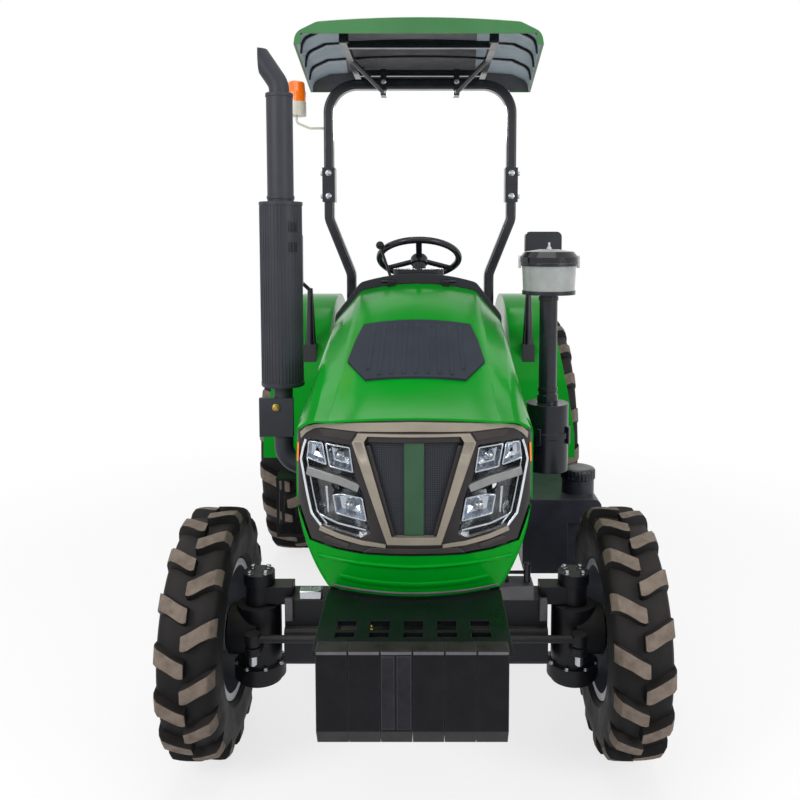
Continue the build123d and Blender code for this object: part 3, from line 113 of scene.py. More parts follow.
@dataclass(frozen=True)
class Finish:
    """One finish: a real material and the way its surface was made."""

    name: str
    slot: str
    colour: str
    tone: str
    roughness: float
    mottle_mm: float = 80.0
    spread: float = 0.06
    metallic: float = 0.0
    ior: float = 1.5
    coat: float = 0.0
    pattern: Pattern = Pattern.GRAIN
    grain_mm: float = 1.5
    grain_depth_mm: float = 0.05
    edge_mm: float = 0.0
    edge_colour: str = "#8a8a88"
    edge_share: float = 0.35
    dust: float = 0.0
    dust_colour: str = "#8f877c"
    alpha: float = 1.0
    sheen: float = 0.0

    def material(self) -> bpy.types.Material:
        """Gives the finish as a material, made at its first use."""
        return bpy.data.materials.get(self.name) or self.build()

    def relief(self, tree: bpy.types.NodeTree, place: bpy.types.NodeSocket) -> bpy.types.NodeSocket:
        """Adds the pattern that gives the surface its fine relief.

        Args:
            tree: the material's node tree.
            place: object coordinates.

        Returns:
            The height of the relief.
        """
        scale = 1000 / self.grain_mm
        flat = {Pattern.HOLES: (1, 0, 1), Pattern.LINES: (0.05, 0.05, 1)}.get(self.pattern, (1, 1, 1))
        spot = add_node(tree, "ShaderNodeMapping", inputs={"Vector": place, "Scale": flat}).outputs[0]
        if self.pattern is Pattern.CELLS:
            cells = add_node(tree, "ShaderNodeTexVoronoi", {"feature": "DISTANCE_TO_EDGE"},
                             {"Vector": spot, "Scale": scale})
            return cells.outputs["Distance"]
        if self.pattern is Pattern.HOLES:
            holes = add_node(tree, "ShaderNodeTexVoronoi", {"feature": "F1"},
                             {"Vector": spot, "Scale": scale, "Randomness": 0.0})
            return add_node(tree, "ShaderNodeMapRange", {"interpolation_type": "SMOOTHSTEP"},
                            {0: holes.outputs["Distance"], **HOLE_SPAN}).outputs[0]
        grain = {"Vector": spot, "Scale": scale, "Detail": 3.0}
        return add_node(tree, "ShaderNodeTexNoise", inputs=grain).outputs[0]

    def build(self) -> bpy.types.Material:
        """Builds the material's nodes.

        Returns:
            The new material.
        """
        material = bpy.data.materials.new(self.name)
        material.use_nodes = True
        tree = material.node_tree
        tree.nodes.clear()
        place = add_node(tree, "ShaderNodeTexCoord").outputs["Object"]
        geometry = add_node(tree, "ShaderNodeNewGeometry")
        mottle = add_node(tree, "ShaderNodeTexNoise", inputs={
            "Vector": place, "Scale": 1000 / self.mottle_mm, "Detail": 5.0, "Roughness": 0.6})
        share = add_node(tree, "ShaderNodeMapRange", inputs={0: mottle.outputs[0], **MOTTLE_SPAN})
        base = add_node(tree, "ShaderNodeMix", {"data_type": "RGBA"},
                        {0: share.outputs[0], 6: linear(self.colour), 7: linear(self.tone)}).outputs[2]
        height = self.relief(tree, place)
        # Holes take a near-black colour: painted shade of the dark space behind the screen
        if self.pattern is Pattern.HOLES:
            base = add_node(tree, "ShaderNodeMix", {"data_type": "RGBA"},
                            {0: height, 6: linear(HOLE_SHADE_COLOUR), 7: base}).outputs[2]
        normal = geometry.outputs["Normal"]
        # Rounded edges take the edge colour, which in most finishes is lighter than the face
        if self.edge_mm:
            rounded = add_node(tree, "ShaderNodeBevel", {"samples": 4},
                               {"Radius": self.edge_mm / 1000}).outputs[0]
            turn = add_node(tree, "ShaderNodeVectorMath", {"operation": "DOT_PRODUCT"},
                            {0: rounded, 1: normal})
            edge_tint = add_node(tree, "ShaderNodeMapRange",
                            inputs={0: turn.outputs["Value"], **EDGE_TINT_SPAN, 3: 0.0, 4: self.edge_share})
            base = add_node(tree, "ShaderNodeMix", {"data_type": "RGBA"},
                            {0: edge_tint.outputs[0], 6: base, 7: linear(self.edge_colour)}).outputs[2]
            normal = rounded
        if self.dust:
            facing = add_node(tree, "ShaderNodeSeparateXYZ", inputs={0: geometry.outputs["Normal"]})
            settled = add_node(tree, "ShaderNodeMapRange",
                               inputs={0: facing.outputs[2], **DUST_SPAN, 4: self.dust})
            patchy = add_node(tree, "ShaderNodeMath", {"operation": "MULTIPLY"},
                              {0: settled.outputs[0], 1: mottle.outputs[0]})
            base = add_node(tree, "ShaderNodeMix", {"data_type": "RGBA"},
                            {0: patchy.outputs[0], 6: base, 7: linear(self.dust_colour)}).outputs[2]
        gloss = add_node(tree, "ShaderNodeMapRange", inputs={
            0: mottle.outputs[0], **GLOSS_SPAN,
            3: max(self.roughness - self.spread, 0.02), 4: min(self.roughness + self.spread, 1.0)})
        bump = add_node(tree, "ShaderNodeBump", inputs={
            "Height": height, "Distance": self.grain_depth_mm / 1000, "Strength": 1.0, "Normal": normal})
        shader = add_node(tree, "ShaderNodeBsdfPrincipled", inputs={
            "Base Color": base, "Roughness": gloss.outputs[0], "Normal": bump.outputs[0],
            "Metallic": self.metallic, "IOR": self.ior, "Alpha": self.alpha, "Sheen Weight": self.sheen,
            "Coat Weight": self.coat, "Coat Roughness": COAT_ROUGHNESS})
        add_node(tree, "ShaderNodeOutputMaterial", inputs={"Surface": shader.outputs[0]})
        material.diffuse_color = linear(self.colour)
        return material


# Baked enamel on pressed sheet: deep colour under a clear gloss, faint orange peel
GREEN_ENAMEL = Finish("baked_enamel_green", "green_paint", "#00901f", "#00851a", 0.16, 400, 0.05, ior=1.16,
                      grain_mm=5, grain_depth_mm=0.02, edge_mm=2, edge_colour="#3fae4e", edge_share=0.3)
# Gel coat on a moulded roof: grey-green, patchy in tone
CANOPY_SHELL = Finish("gel_coated_fibreglass_green", "canopy_plastic", "#43774a", "#3b6e42", 0.4, 300,
                      ior=1.3, grain_mm=8, edge_mm=3, edge_colour="#79b57c", edge_share=0.3)
# Bare side of hand-laid fibreglass, painted grey: dull, with a print of the mat
CANOPY_LINING = Finish("hand_laid_fibreglass_grey", "canopy_plastic", "#626166", "#555458", 0.62, 120, 0.08,
                       grain_mm=14, grain_depth_mm=0.5)
# The lining near the roof's edges, pale blue-grey: painted light, as these sides lie in shade under the roof
CANOPY_PAINTED_LIGHT = Finish("fibreglass_pale_painted_light", "canopy_plastic", "#b4c2cd", "#a6b5c1", 0.55, 120, 0.08,
                     grain_mm=14, grain_depth_mm=0.4)
# Powder coat on tube and plate: even gloss black with a fine pebble
BLACK_POWDER = Finish("powder_coated_steel_black", "black_paint", "#0d0e12", "#131418", 0.32, 90, ior=1.3,
                      grain_mm=2.5, edge_mm=2, edge_colour="#43454b")
# Gloss powder coat on the roll bar and the roof's frame: blue-black with clear highlights
GLOSS_POWDER = Finish("gloss_powder_coated_tube", "black_paint", "#12141c", "#191b23", 0.2, 90, 0.05,
                      grain_mm=4, grain_depth_mm=0.04, edge_mm=2, edge_colour="#4a4d57")
# Heat paint on the exhaust: flat charcoal, patchy with a greyer tone
HEAT_PAINT = Finish("heat_painted_steel_charcoal", "charcoal_paint", "#2a2c33", "#34363e", 0.5, 140, 0.08,
                    ior=1.36, grain_mm=2, edge_mm=2, edge_colour="#5b5e66")
# Sprayed sand casting: rough skin under black paint, dust on what faces up
CAST_PAINT = Finish("painted_sand_cast_iron_black", "cast_paint", "#101116", "#191a20", 0.45, 60, 0.1,
                    ior=1.33, grain_mm=4, grain_depth_mm=0.35, edge_mm=4, edge_colour="#42434a", dust=0.25)
# Cast weights: thicker paint, near black, scuffed on the edges
WEIGHT_PAINT = Finish("painted_cast_iron_weight", "weight_paint", "#0b0a0e", "#121116", 0.36, 50, 0.1,
                      ior=1.25, grain_mm=5, grain_depth_mm=0.3, edge_mm=5, edge_colour="#55545a",
                      edge_share=0.4, dust=0.12)
# Strips of one weight whose paint has gone grey with handling
WEIGHT_WORN = Finish("worn_cast_iron_weight", "weight_paint", "#19191e", "#242429", 0.42, 35, 0.1, ior=1.25,
                     grain_mm=5, grain_depth_mm=0.35, edge_mm=5, edge_colour="#6c6c70", edge_share=0.45,
                     dust=0.12)
# Grey primer on small castings of the axle; the same grey also paints the highlight along the weights' upper
# edge
GREY_CAST = Finish("primed_cast_iron_grey", "cast_paint", "#57555a", "#4b494e", 0.55, 40, 0.1, grain_mm=4,
                   grain_depth_mm=0.25, edge_mm=3, edge_colour="#7d7b7e")
# Aluminium paint on pressed wheels: pale metal with a fine sparkle
WHEEL_SILVER = Finish("aluminium_painted_steel_wheel", "rim_paint", "#90929a", "#85878f", 0.4, 90, 0.08,
                      metallic=0.55, grain_mm=2, grain_depth_mm=0.04, edge_mm=2, edge_colour="#b5b7bd")
# Moulded tyre: brown-black with a dull sheen
TYRE_RUBBER = Finish("moulded_tyre_rubber", "tyre_rubber", "#100f11", "#191617", 0.66, 70, 0.1, ior=1.3,
                     grain_mm=3, grain_depth_mm=0.12, dust=0.15, dust_colour="#6f655c")
# Lug faces scuffed pale and dusty by the yard
LUG_RUBBER = Finish("scuffed_lug_rubber_dusty", "tyre_rubber", "#776b61", "#61564e", 0.85, 30, 0.08,
                    ior=1.35, grain_mm=4, grain_depth_mm=0.3)
# Moulded ABS with a fine etched grain: dark brown-grey
NOSE_PLASTIC = Finish("etched_abs_dark", "fascia_plastic", "#272325", "#2f2a2c", 0.4, ior=1.36, edge_mm=1.5,
                      edge_colour="#5a5356", edge_share=0.3)
# The same ABS with a browner satin, on the brow insets and the lip
BROWN_ABS = Finish("satin_abs_brown", "fascia_plastic", "#322d2c", "#3a3433", 0.34, ior=1.36,
                   grain_depth_mm=0.04, edge_mm=1.5, edge_colour="#8a8078", edge_share=0.4)
# ABS sprayed with warm silver under clear coat
SILVER_TRIM = Finish("silver_sprayed_abs", "grille_plastic", "#938b7e", "#857d71", 0.34, 120, 0.05,
                     metallic=0.35, grain_mm=2, grain_depth_mm=0.02, edge_mm=1.5, edge_colour="#cfcac2",
                     edge_share=0.4)
# Punched steel screen, the holes drawn 6 mm apart so that they show, near black inside as painted shade
GRILLE_SCREEN = Finish("punched_steel_screen", "grille_plastic", "#262b33", "#20242c", 0.5, 150, ior=1.4,
                       pattern=Pattern.HOLES, grain_mm=6, grain_depth_mm=0.6)
# Sprayed ABS strip: deep green, half matt
STRIPE_GREEN = Finish("gloss_sprayed_abs_green", "grille_plastic", "#2b4f35", "#25472e", 0.36, 90, 0.05,
                      ior=1.4, grain_mm=3, grain_depth_mm=0.02, edge_mm=1.5, edge_colour="#3f7a4d")
# Moulded polycarbonate: clear, seen by its highlights
CLEAR_LENS = Finish("moulded_polycarbonate_clear", "lamp_plastic", "#24282c", "#1d2125", 0.05, 90, 0.02,
                    ior=1.34, grain_mm=6, grain_depth_mm=0.02, alpha=0.1)
# Vacuum-coated aluminium behind the lens
REFLECTOR = Finish("vacuum_coated_reflector", "lamp_plastic", "#dfe4ea", "#c8d0da", 0.12, 40, metallic=0.95,
                   grain_mm=9, grain_depth_mm=0.5)
# Satin metal coat on the bar across each lamp
LAMP_BAR = Finish("satin_vacuum_coat", "lamp_plastic", "#a3a6a5", "#959897", 0.34, 40, metallic=0.6,
                  grain_mm=3, grain_depth_mm=0.03)
# Lamp housing with a thin smoked metal coat
LAMP_HOUSING = Finish("smoked_vacuum_coat", "lamp_plastic", "#5b5d5f", "#707274", 0.24, 25, 0.08,
                      metallic=0.85, grain_mm=12, grain_depth_mm=0.8)
# Moulded polyethylene: blue-black, waxy
POLY_BLACK = Finish("rotomoulded_polyethylene_black", "black_plastic", "#0f121a", "#171a23", 0.26, 90,
                    ior=1.42, grain_mm=3, grain_depth_mm=0.1, edge_mm=4, edge_colour="#3c3f48",
                    edge_share=0.3, dust=0.1)
# Polished lid of the pre-cleaner: deep black with one sharp highlight
LID_NYLON = Finish("injection_moulded_nylon_black", "black_plastic", "#0b0c10", "#121318", 0.12, 90, 0.04,
                   ior=1.45, grain_mm=4, grain_depth_mm=0.02, edge_mm=2, edge_colour="#4b4e58")
# The same plastic as on the canister, duller, on the tank, its colour made greyer as a painted sheen
TANK_PAINTED_SHEEN = Finish("rotomoulded_polyethylene_painted_sheen", "black_plastic", "#272932", "#31333d", 0.4, 140,
                   0.08, ior=1.36, grain_mm=4, grain_depth_mm=0.08, edge_mm=4, edge_colour="#4b4e58",
                   edge_share=0.3, dust=0.1)
# Moulded vent panel: flat slate
VENT_PLASTIC = Finish("etched_abs_slate", "charcoal_paint", "#2b3038", "#333841", 0.5, 140, ior=1.12,
                      grain_mm=2, edge_mm=2, edge_colour="#4b515b", edge_share=0.3)
# Blow-moulded clear bowl, smoked by dust
DUST_BOWL = Finish("blow_moulded_bowl_smoked", "bowl_plastic", "#9c9f9e", "#8d9190", 0.25, 60, ior=1.45,
                   grain_mm=5, coat=0.2)
# Moulded acrylic: amber, bright where it is thin
AMBER_LENS = Finish("moulded_acrylic_amber", "amber_plastic", "#ff7a08", "#f56c00", 0.18, 50, 0.04,
                    ior=1.49, grain_mm=5, grain_depth_mm=0.03, coat=0.5)
# Moulded ABS, cream
CREAM_ABS = Finish("moulded_abs_cream", "cream_plastic", "#cfcbbe", "#c4c0b2", 0.4, 60, 0.05, grain_mm=2,
                   grain_depth_mm=0.04, edge_mm=1.5, edge_colour="#e4e1d6")
# Moulded acrylic, red
RED_LENS = Finish("moulded_acrylic_red", "red_plastic", "#a3120f", "#900d0b", 0.2, 50, 0.04, ior=1.49,
                  grain_mm=4, coat=0.5)
# Embossed vinyl over foam: soft black with pebbled cells
SEAT_VINYL = Finish("embossed_vinyl_black", "seat_vinyl", "#1d1d20", "#27272a", 0.48, 90,
                    pattern=Pattern.CELLS, grain_mm=5, grain_depth_mm=0.5, sheen=0.1)
# Turned and plated steel: bright with fine lines
BRIGHT_STEEL = Finish("zinc_plated_turned_steel", "steel", "#b9bcc0", "#a8abb0", 0.28, 40, 0.08,
                      metallic=1.0, pattern=Pattern.LINES, grain_mm=2, grain_depth_mm=0.04)
# Yellow-passivated fittings
BRASSY_STEEL = Finish("yellow_zinc_plated_steel", "steel", "#b39a4e", "#9c8440", 0.34, 20, 0.08,
                      metallic=0.9, grain_mm=2, grain_depth_mm=0.04)
# Silvered glass
MIRROR_GLASS = Finish("silvered_mirror_glass", "steel", "#d8dde0", "#d0d6da", 0.04, 200, 0.02, metallic=1.0,
                      grain_mm=20, grain_depth_mm=0.01)

NODE_FINISHES = {
    GREEN_ENAMEL: ("hood_top", "hood_sides", "chin", "fender_left", "fender_right"),
    CANOPY_SHELL: ("canopy",),
    GLOSS_POWDER: ("rops_posts", "rops_hoop", "canopy_frame", "mirrors"),
    BLACK_POWDER: ("controls", "seat_frame", "platform", "front_frame", "rock_arms", "lower_links",
                   "lift_rods", "drawbar", "pto"),
    HEAT_PAINT: ("exhaust", "muffler_shield"),
    VENT_PLASTIC: ("hood_vent",),
    TANK_PAINTED_SHEEN: ("fuel_tank",),
    CAST_PAINT: ("front_axle", "engine", "gearbox", "axle_tubes", "knuckle_left", "knuckle_right",
                 "steering_cylinder", "steering_rod", "radiator"),
    WEIGHT_PAINT: ("front_weights",),
    WHEEL_SILVER: ("front_rim_left", "front_rim_right", "rear_rim_left", "rear_rim_right"),
    NOSE_PLASTIC: ("fascia", "grille", "headlamps"),
    POLY_BLACK: ("air_cleaner", "fuel_cap", "dash", "steering_wheel"),
    LID_NYLON: ("precleaner_lid",),
    DUST_BOWL: ("precleaner_bowl",),
    CREAM_ABS: ("beacon_base",),
    AMBER_LENS: ("beacon_lens",),
    RED_LENS: ("tail_lamps",),
    SEAT_VINYL: ("seat_pads",),
    TYRE_RUBBER: ("front_tyre_left", "front_tyre_right", "rear_tyre_left", "rear_tyre_right"),
}


class Shape:
    """Mesh in the making: each method adds one closed form to it."""

    def __init__(self) -> None:
        """Starts an empty mesh."""
        self.bm = bmesh.new()

    def loft(self, loops: Sequence[Sequence[Point]], wrap: bool = False,
             tints: Sequence[int] = ()) -> "Shape":
        """Skins loops of points, one to the next.

        Args:
            loops: loops of equal length.
            wrap: joins the last loop to the first, and otherwise both ends are closed.
            tints: material number of each side of the loop.

        Returns:
            This shape.
        """
        rows = [[self.bm.verts.new(p) for p in loop] for loop in loops]
        count = len(rows[0])
        for low, high in zip(rows, rows[1:] + rows[:1]) if wrap else zip(rows, rows[1:]):
            for i in range(count):
                j = (i + 1) % count
                face = self.bm.faces.new((low[i], low[j], high[j], high[i]))
                face.material_index = tints[i] if tints else 0
        if not wrap:
            self.bm.faces.new(rows[0][::-1])
            self.bm.faces.new(rows[-1])
        return self

    def lathe(self, profile: Sequence[Point], at: Point, axis: Point, segments: int = 40,
              wrap: bool = False) -> "Shape":
        """Turns a profile about an axis.

        Args:
            profile: points as distance along the axis and radius.
            at: origin of the axis.
            axis: direction of the axis.
            segments: sides of the round.
            wrap: closes the profile on itself.

        Returns:
            This shape.
        """
        turn = Vector(axis).to_track_quat("Z", "X").to_matrix()
        angles = [math.tau * i / segments for i in range(segments)]
        loops = []
        for height, radius in profile:
            r = max(radius, TINY)
            spots = [Vector((r * math.cos(a), r * math.sin(a), height)) for a in angles]
            loops.append([Vector(at) + turn @ spot for spot in spots])
        return self.loft(loops, wrap)

    def band(self, at: Point, half: float, inner: float, outer: float, segments: int) -> "Shape":
        """Adds a flat ring round an upright axis.

        Args:
            at: its middle.
            half: half its height.
            inner: its inner radius.
            outer: its outer radius.
            segments: sides of the round.

        Returns:
            This shape.
        """
        x, y, z = at
        profile = [(z - half, inner), (z - half, outer), (z + half, outer), (z + half, inner)]
        return self.lathe(profile, (x, y, 0), (0, 0, 1), segments, True)

    def fluted(self, at: Point, radius: float, profile: Sequence[Point], flutes: int) -> "Shape":
        """Turns a profile about an upright axis and presses flutes into it.

        Args:
            at: foot of the axis.
            radius: full radius.
            profile: rows of height, share of the radius and share of the flutes' depth.
            flutes: how many flutes there are.

        Returns:
            This shape.
        """
        sides = 4 * flutes
        loops = []
        for rise, share, depth in profile:
            loop = []
            for k in range(sides):
                a = math.tau * k / sides
                r = radius * share - FLUTE_DEPTH * depth * (0.5 + 0.5 * math.cos(flutes * a))
                loop.append((at[0] + r * math.cos(a), at[1] + r * math.sin(a), at[2] + rise))
            loops.append(loop)
        return self.loft(loops)

    def tube(self, path: Sequence[Point], radius: float, sides: int = 14) -> "Shape":
        """Sweeps a circle along a path.

        Args:
            path: points that the middle follows.
            radius: radius of the tube.
            sides: sides of the circle.

        Returns:
            This shape.
        """
        points = [Vector(p) for p in path]
        side = (points[1] - points[0]).orthogonal()
        loops = []
        for i, point in enumerate(points):
            run = (points[min(i + 1, len(points) - 1)] - points[max(i - 1, 0)]).normalized()
            side = (side - run * side.dot(run)).normalized()
            up = run.cross(side)
            angles = [math.tau * k / sides for k in range(sides)]
            loops.append([point + radius * (side * math.cos(a) + up * math.sin(a)) for a in angles])
        return self.loft(loops)

    def prism(self, outline: Sequence[Point], push: Point) -> "Shape":
        """Pushes an outline straight to a solid.

        Args:
            outline: corner points of the outline.
            push: how far and where it is pushed.

        Returns:
            This shape.
        """
        return self.loft([outline, [Vector(p) + Vector(push) for p in outline]])

    def box(self, low: Point, high: Point) -> "Shape":
        """Adds a block between two corners, for a piece whose edges are then rounded."""
        (x0, y0, z0), (x1, y1, z1) = low, high
        return self.prism([(x0, y0, z0), (x1, y0, z0), (x1, y1, z0), (x0, y1, z0)], (0, 0, z1 - z0))

    def twins(self, low: Point, high: Point) -> "Shape":
        """Adds a block on the left, between two corners, and its mirror image on the right.

        Args:
            low: its lower corner.
            high: its upper corner.

        Returns:
            This shape.
        """
        for side in SIDES.values():
            x0, x1 = sorted((side * low[0], side * high[0]))
            self.box((x0, *low[1:]), (x1, *high[1:]))
        return self

    def bolt(self, at: Point, along: Point, across: float = 0.019) -> "Shape":
        """Adds a chamfered hexagon head on its washer.

        Args:
            at: where the washer lies.
            along: direction that the head stands in.
            across: width across the flats.

        Returns:
            This shape.
        """
        r = across / math.sqrt(3)
        washer = [(-0.001, 0), (-0.001, 1.25 * r), (0.0022, 1.25 * r), (0.003, 1.1 * r), (0.003, 0)]
        self.lathe(washer, at, along, 20)
        head = [(0.002, r), (0.55 * across, r), (0.65 * across, 0.8 * r)]
        return self.lathe(head, at, along, 6)

    def piece(self, name: str, body: str, *finishes: Finish, bevel: float = 0.0, smooth: float = 35.0,
              replaces: Sequence[str] = ()) -> bpy.types.Object:
        """Ends the mesh and makes it a piece of the tractor.

        Args:
            name: the piece's name.
            body: the body that it rides on.
            finishes: its finishes, by material number.
            bevel: width of its rounded edges.
            smooth: edges under this many degrees are shaded smooth.
            replaces: solids that it stands for.

        Returns:
            The new object.
        """
        bmesh.ops.remove_doubles(self.bm, verts=self.bm.verts, dist=1e-6)
        bmesh.ops.recalc_face_normals(self.bm, faces=self.bm.faces)
        for edge in self.bm.edges:
            edge.smooth = edge.calc_face_angle(0.0) < math.radians(smooth)
        for face in self.bm.faces:
            face.smooth = True
        mesh = bpy.data.meshes.new(name)
        self.bm.to_mesh(mesh)
        self.bm.free()
        obj = bpy.data.objects.new(name, mesh)
        bpy.context.scene.collection.objects.link(obj)
        if bevel:
            rounding = obj.modifiers.new("rounding", "BEVEL")
            rounding.width = bevel
            rounding.segments = 2
            rounding.limit_method = "ANGLE"
            rounding.angle_limit = math.radians(smooth)
        return claim(obj, body, *finishes, replaces=replaces)


def claim(obj: bpy.types.Object, body: str, *finishes: Finish,
          replaces: Sequence[str] = ()) -> bpy.types.Object:
    """Dresses a piece, sets it on its body and reports it.

    Args:
        obj: the piece.
        body: the body that it rides on.
        finishes: its finishes, by material number.
        replaces: solids that it stands for.

    Returns:
        The piece.
    """
    for finish in finishes:
        obj.data.materials.append(finish.material())
    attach(obj, body)
    if replaces:
        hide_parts(*replaces)
    LOG.info("%s on %s: %d faces", obj.name, body, len(obj.data.polygons))
    return obj


def touch(node: str, start: Point, along: Point) -> Vector:
    """Finds where a line first meets a solid, so that a piece sits on it.

    Args:
        node: name of the solid.
        start: where the line starts.
        along: its direction.

    Returns:
        The point on the solid, or the start if the line misses it.
    """
    hit, point, _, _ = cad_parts[node].ray_cast(Vector(start), Vector(along))
    return point if hit else Vector(start)


def spread(points: Sequence[Point], step: float) -> list[tuple[float, float]]:
    """Adds points to a line of (x, z) so that it can follow a curved face.

    Args:
        points: corner points of the line.
        step: longest distance between two points.

    Returns:
        The finer line.
    """
    line = [tuple(points[0])]
    for (x0, z0), (x1, z1) in zip(points, points[1:]):
        count = max(1, math.ceil(math.hypot(x1 - x0, z1 - z0) / step))
        line += [(x0 + (x1 - x0) * k / count, z0 + (z1 - z0) * k / count) for k in range(1, count + 1)]
    return line


def flip(points: Sequence[Point], side: int) -> list[tuple[float, float]]:
    """Sets points (x, z), drawn for the left half, on one side of the tractor."""
    return [(side * x, z) for x, z in points]


@dataclass
class Tyre:
    """Tractor tyre: a turned carcass with two rows of chevron lugs."""

    name: str
    body: str
    centre: Point
    radius: float
    width: float
    rim_radius: float
    rim_width: float
    lugs: int
    lug_height: float
    lug_face: float
    lug_sweep: float

    def spot(self, x: float, radius: float, angle: float) -> Vector:
        """Gives a point by its distance from the middle plane, radius and angle up from the front."""
        return Vector(self.centre) + Vector((x, -radius * math.cos(angle), radius * math.sin(angle)))

    def carcass(self) -> None:
        """Builds the turned carcass with its bead and sidewall ribs."""
        half = self.width / 2
        bead = self.rim_radius + 0.0005
        tall = self.radius - bead
        base = self.radius - self.lug_height
        seat = self.rim_width / 2 - 0.014
        wall = [(0.86, 0.16), (0.9, 0.17), (0.91, 0.2), (0.965, 0.42), (0.985, 0.5), (0.95, 0.66)]
        side = [(seat, bead), (seat + 0.001, bead + 0.013), (0.8 * half, bead + 0.018)]
        side += [(x * half, bead + r * tall) for x, r in wall]
        side += [(0.9 * half, base - 0.022), (0.8 * half, base - 0.006), (0.45 * half, base)]
        profile = [(-x, r) for x, r in side] + [(x, r) for x, r in side[::-1]]
        shape = Shape().lathe(profile, self.centre, (1, 0, 0), 72, True)
        shape.piece(self.name + "_carcass", self.body, TYRE_RUBBER, smooth=50, replaces=[self.name])

    def lug(self, shape: Shape, side: int, angle: float) -> None:
        """Adds one lug, from the middle of the tread out over the shoulder.

        Args:
            shape: mesh that gets the lug.
            side: which row it belongs to.
            angle: where its inner end lies.
        """
        half = self.width / 2
        # Stations from the middle outwards: share of the half width, share of the sweep, fall of the face
        # on a front tyre and share of the face's width
        stations = [(-0.07, 0.0, 0.0, 0.8), (0.03, 0.02, 0.0, 0.94), (0.16, 0.12, 0.0, 0.98),
                    (0.34, 0.34, 0.0, 0.96), (0.56, 0.62, 0.001, 0.96), (0.78, 0.84, 0.004, 1.0),
                    (0.9, 0.95, 0.018, 1.08), (0.955, 1.0, 0.036, 1.14)]
        loops = []
        for across, turn, fall, wide in stations:
            x = side * across * half
            a = angle + self.lug_sweep * turn / self.radius
            top = self.radius - fall * self.width / FRONT_TYRE_WIDTH
            base = self.radius - self.lug_height - 0.006 - (0.035 if across > 0.8 else 0.0)
            face = 0.5 * self.lug_face * wide / self.radius
            foot = face + 0.008 / self.radius
            corners = [(base, a - foot), (top, a - face), (top, a + face), (base, a + foot)]
            loops.append([self.spot(x, radius, place) for radius, place in corners])
        shape.loft(loops, tints=[0, 1, 0, 0])

    def build(self) -> None:
        """Builds the whole tyre."""
        self.carcass()
        shape = Shape()
        pitch = math.tau / self.lugs
        start = -0.5 * self.lug_sweep / self.radius
        for i in range(self.lugs):
            self.lug(shape, 1, start + i * pitch)
            self.lug(shape, -1, start + (i + 0.5) * pitch)
        shape.piece(self.name + "_lugs", self.body, TYRE_RUBBER, LUG_RUBBER, bevel=0.004)


@dataclass
class Wheels:
    """All four tyres and the nuts of their wheels."""

    front_middle: float = 0.651
    rear_middle: float = 0.612
    front_radius: float = 0.38
    rear_radius: float = 0.602

    def nuts(self, name: str, body: str, at: Point, side: int, face: float, circle: float,
             count: int) -> None:
        """Adds a ring of wheel nuts.

        Args:
            name: name of the piece.
            body: the wheel's body.
            at: the wheel's middle.
            side: 1 on the left, -1 on the right.
            face: the disc's outer face from the wheel's middle plane.
            circle: radius of the ring of nuts.
            count: how many nuts there are.
        """
        shape = Shape()
        for i in range(count):
            a = math.tau * i / count
            spot = (at[0] + side * face, at[1] + circle * math.cos(a), at[2] + circle * math.sin(a))
            shape.bolt(spot, (side, 0, 0), 0.027)
        shape.piece(name, body, BRIGHT_STEEL, bevel=0.0008)

    def build(self) -> None:
        """Builds tyres and nuts on both sides."""
        for name, side in SIDES.items():
            front = (side * self.front_middle, FRONT_AXLE, self.front_radius)
            rear = (side * self.rear_middle, REAR_AXLE, self.rear_radius)
            Tyre(f"front_tyre_{name}", f"front_wheel_{name}", front, self.front_radius, FRONT_TYRE_WIDTH,
                 rim_radius=0.203, rim_width=0.14, lugs=16, lug_height=0.026, lug_face=0.048,
                 lug_sweep=0.044).build()
            Tyre(f"rear_tyre_{name}", f"rear_wheel_{name}", rear, self.rear_radius, 0.288,
                 rim_radius=0.355, rim_width=0.25, lugs=20, lug_height=0.034, lug_face=0.06,
                 lug_sweep=0.069).build()
            self.nuts(f"front_nuts_{name}", f"front_wheel_{name}", front, side,
                      face=-0.003, circle=0.052, count=6)
            self.nuts(f"rear_nuts_{name}", f"rear_wheel_{name}", rear, side,
                      face=-0.001, circle=0.084, count=8)


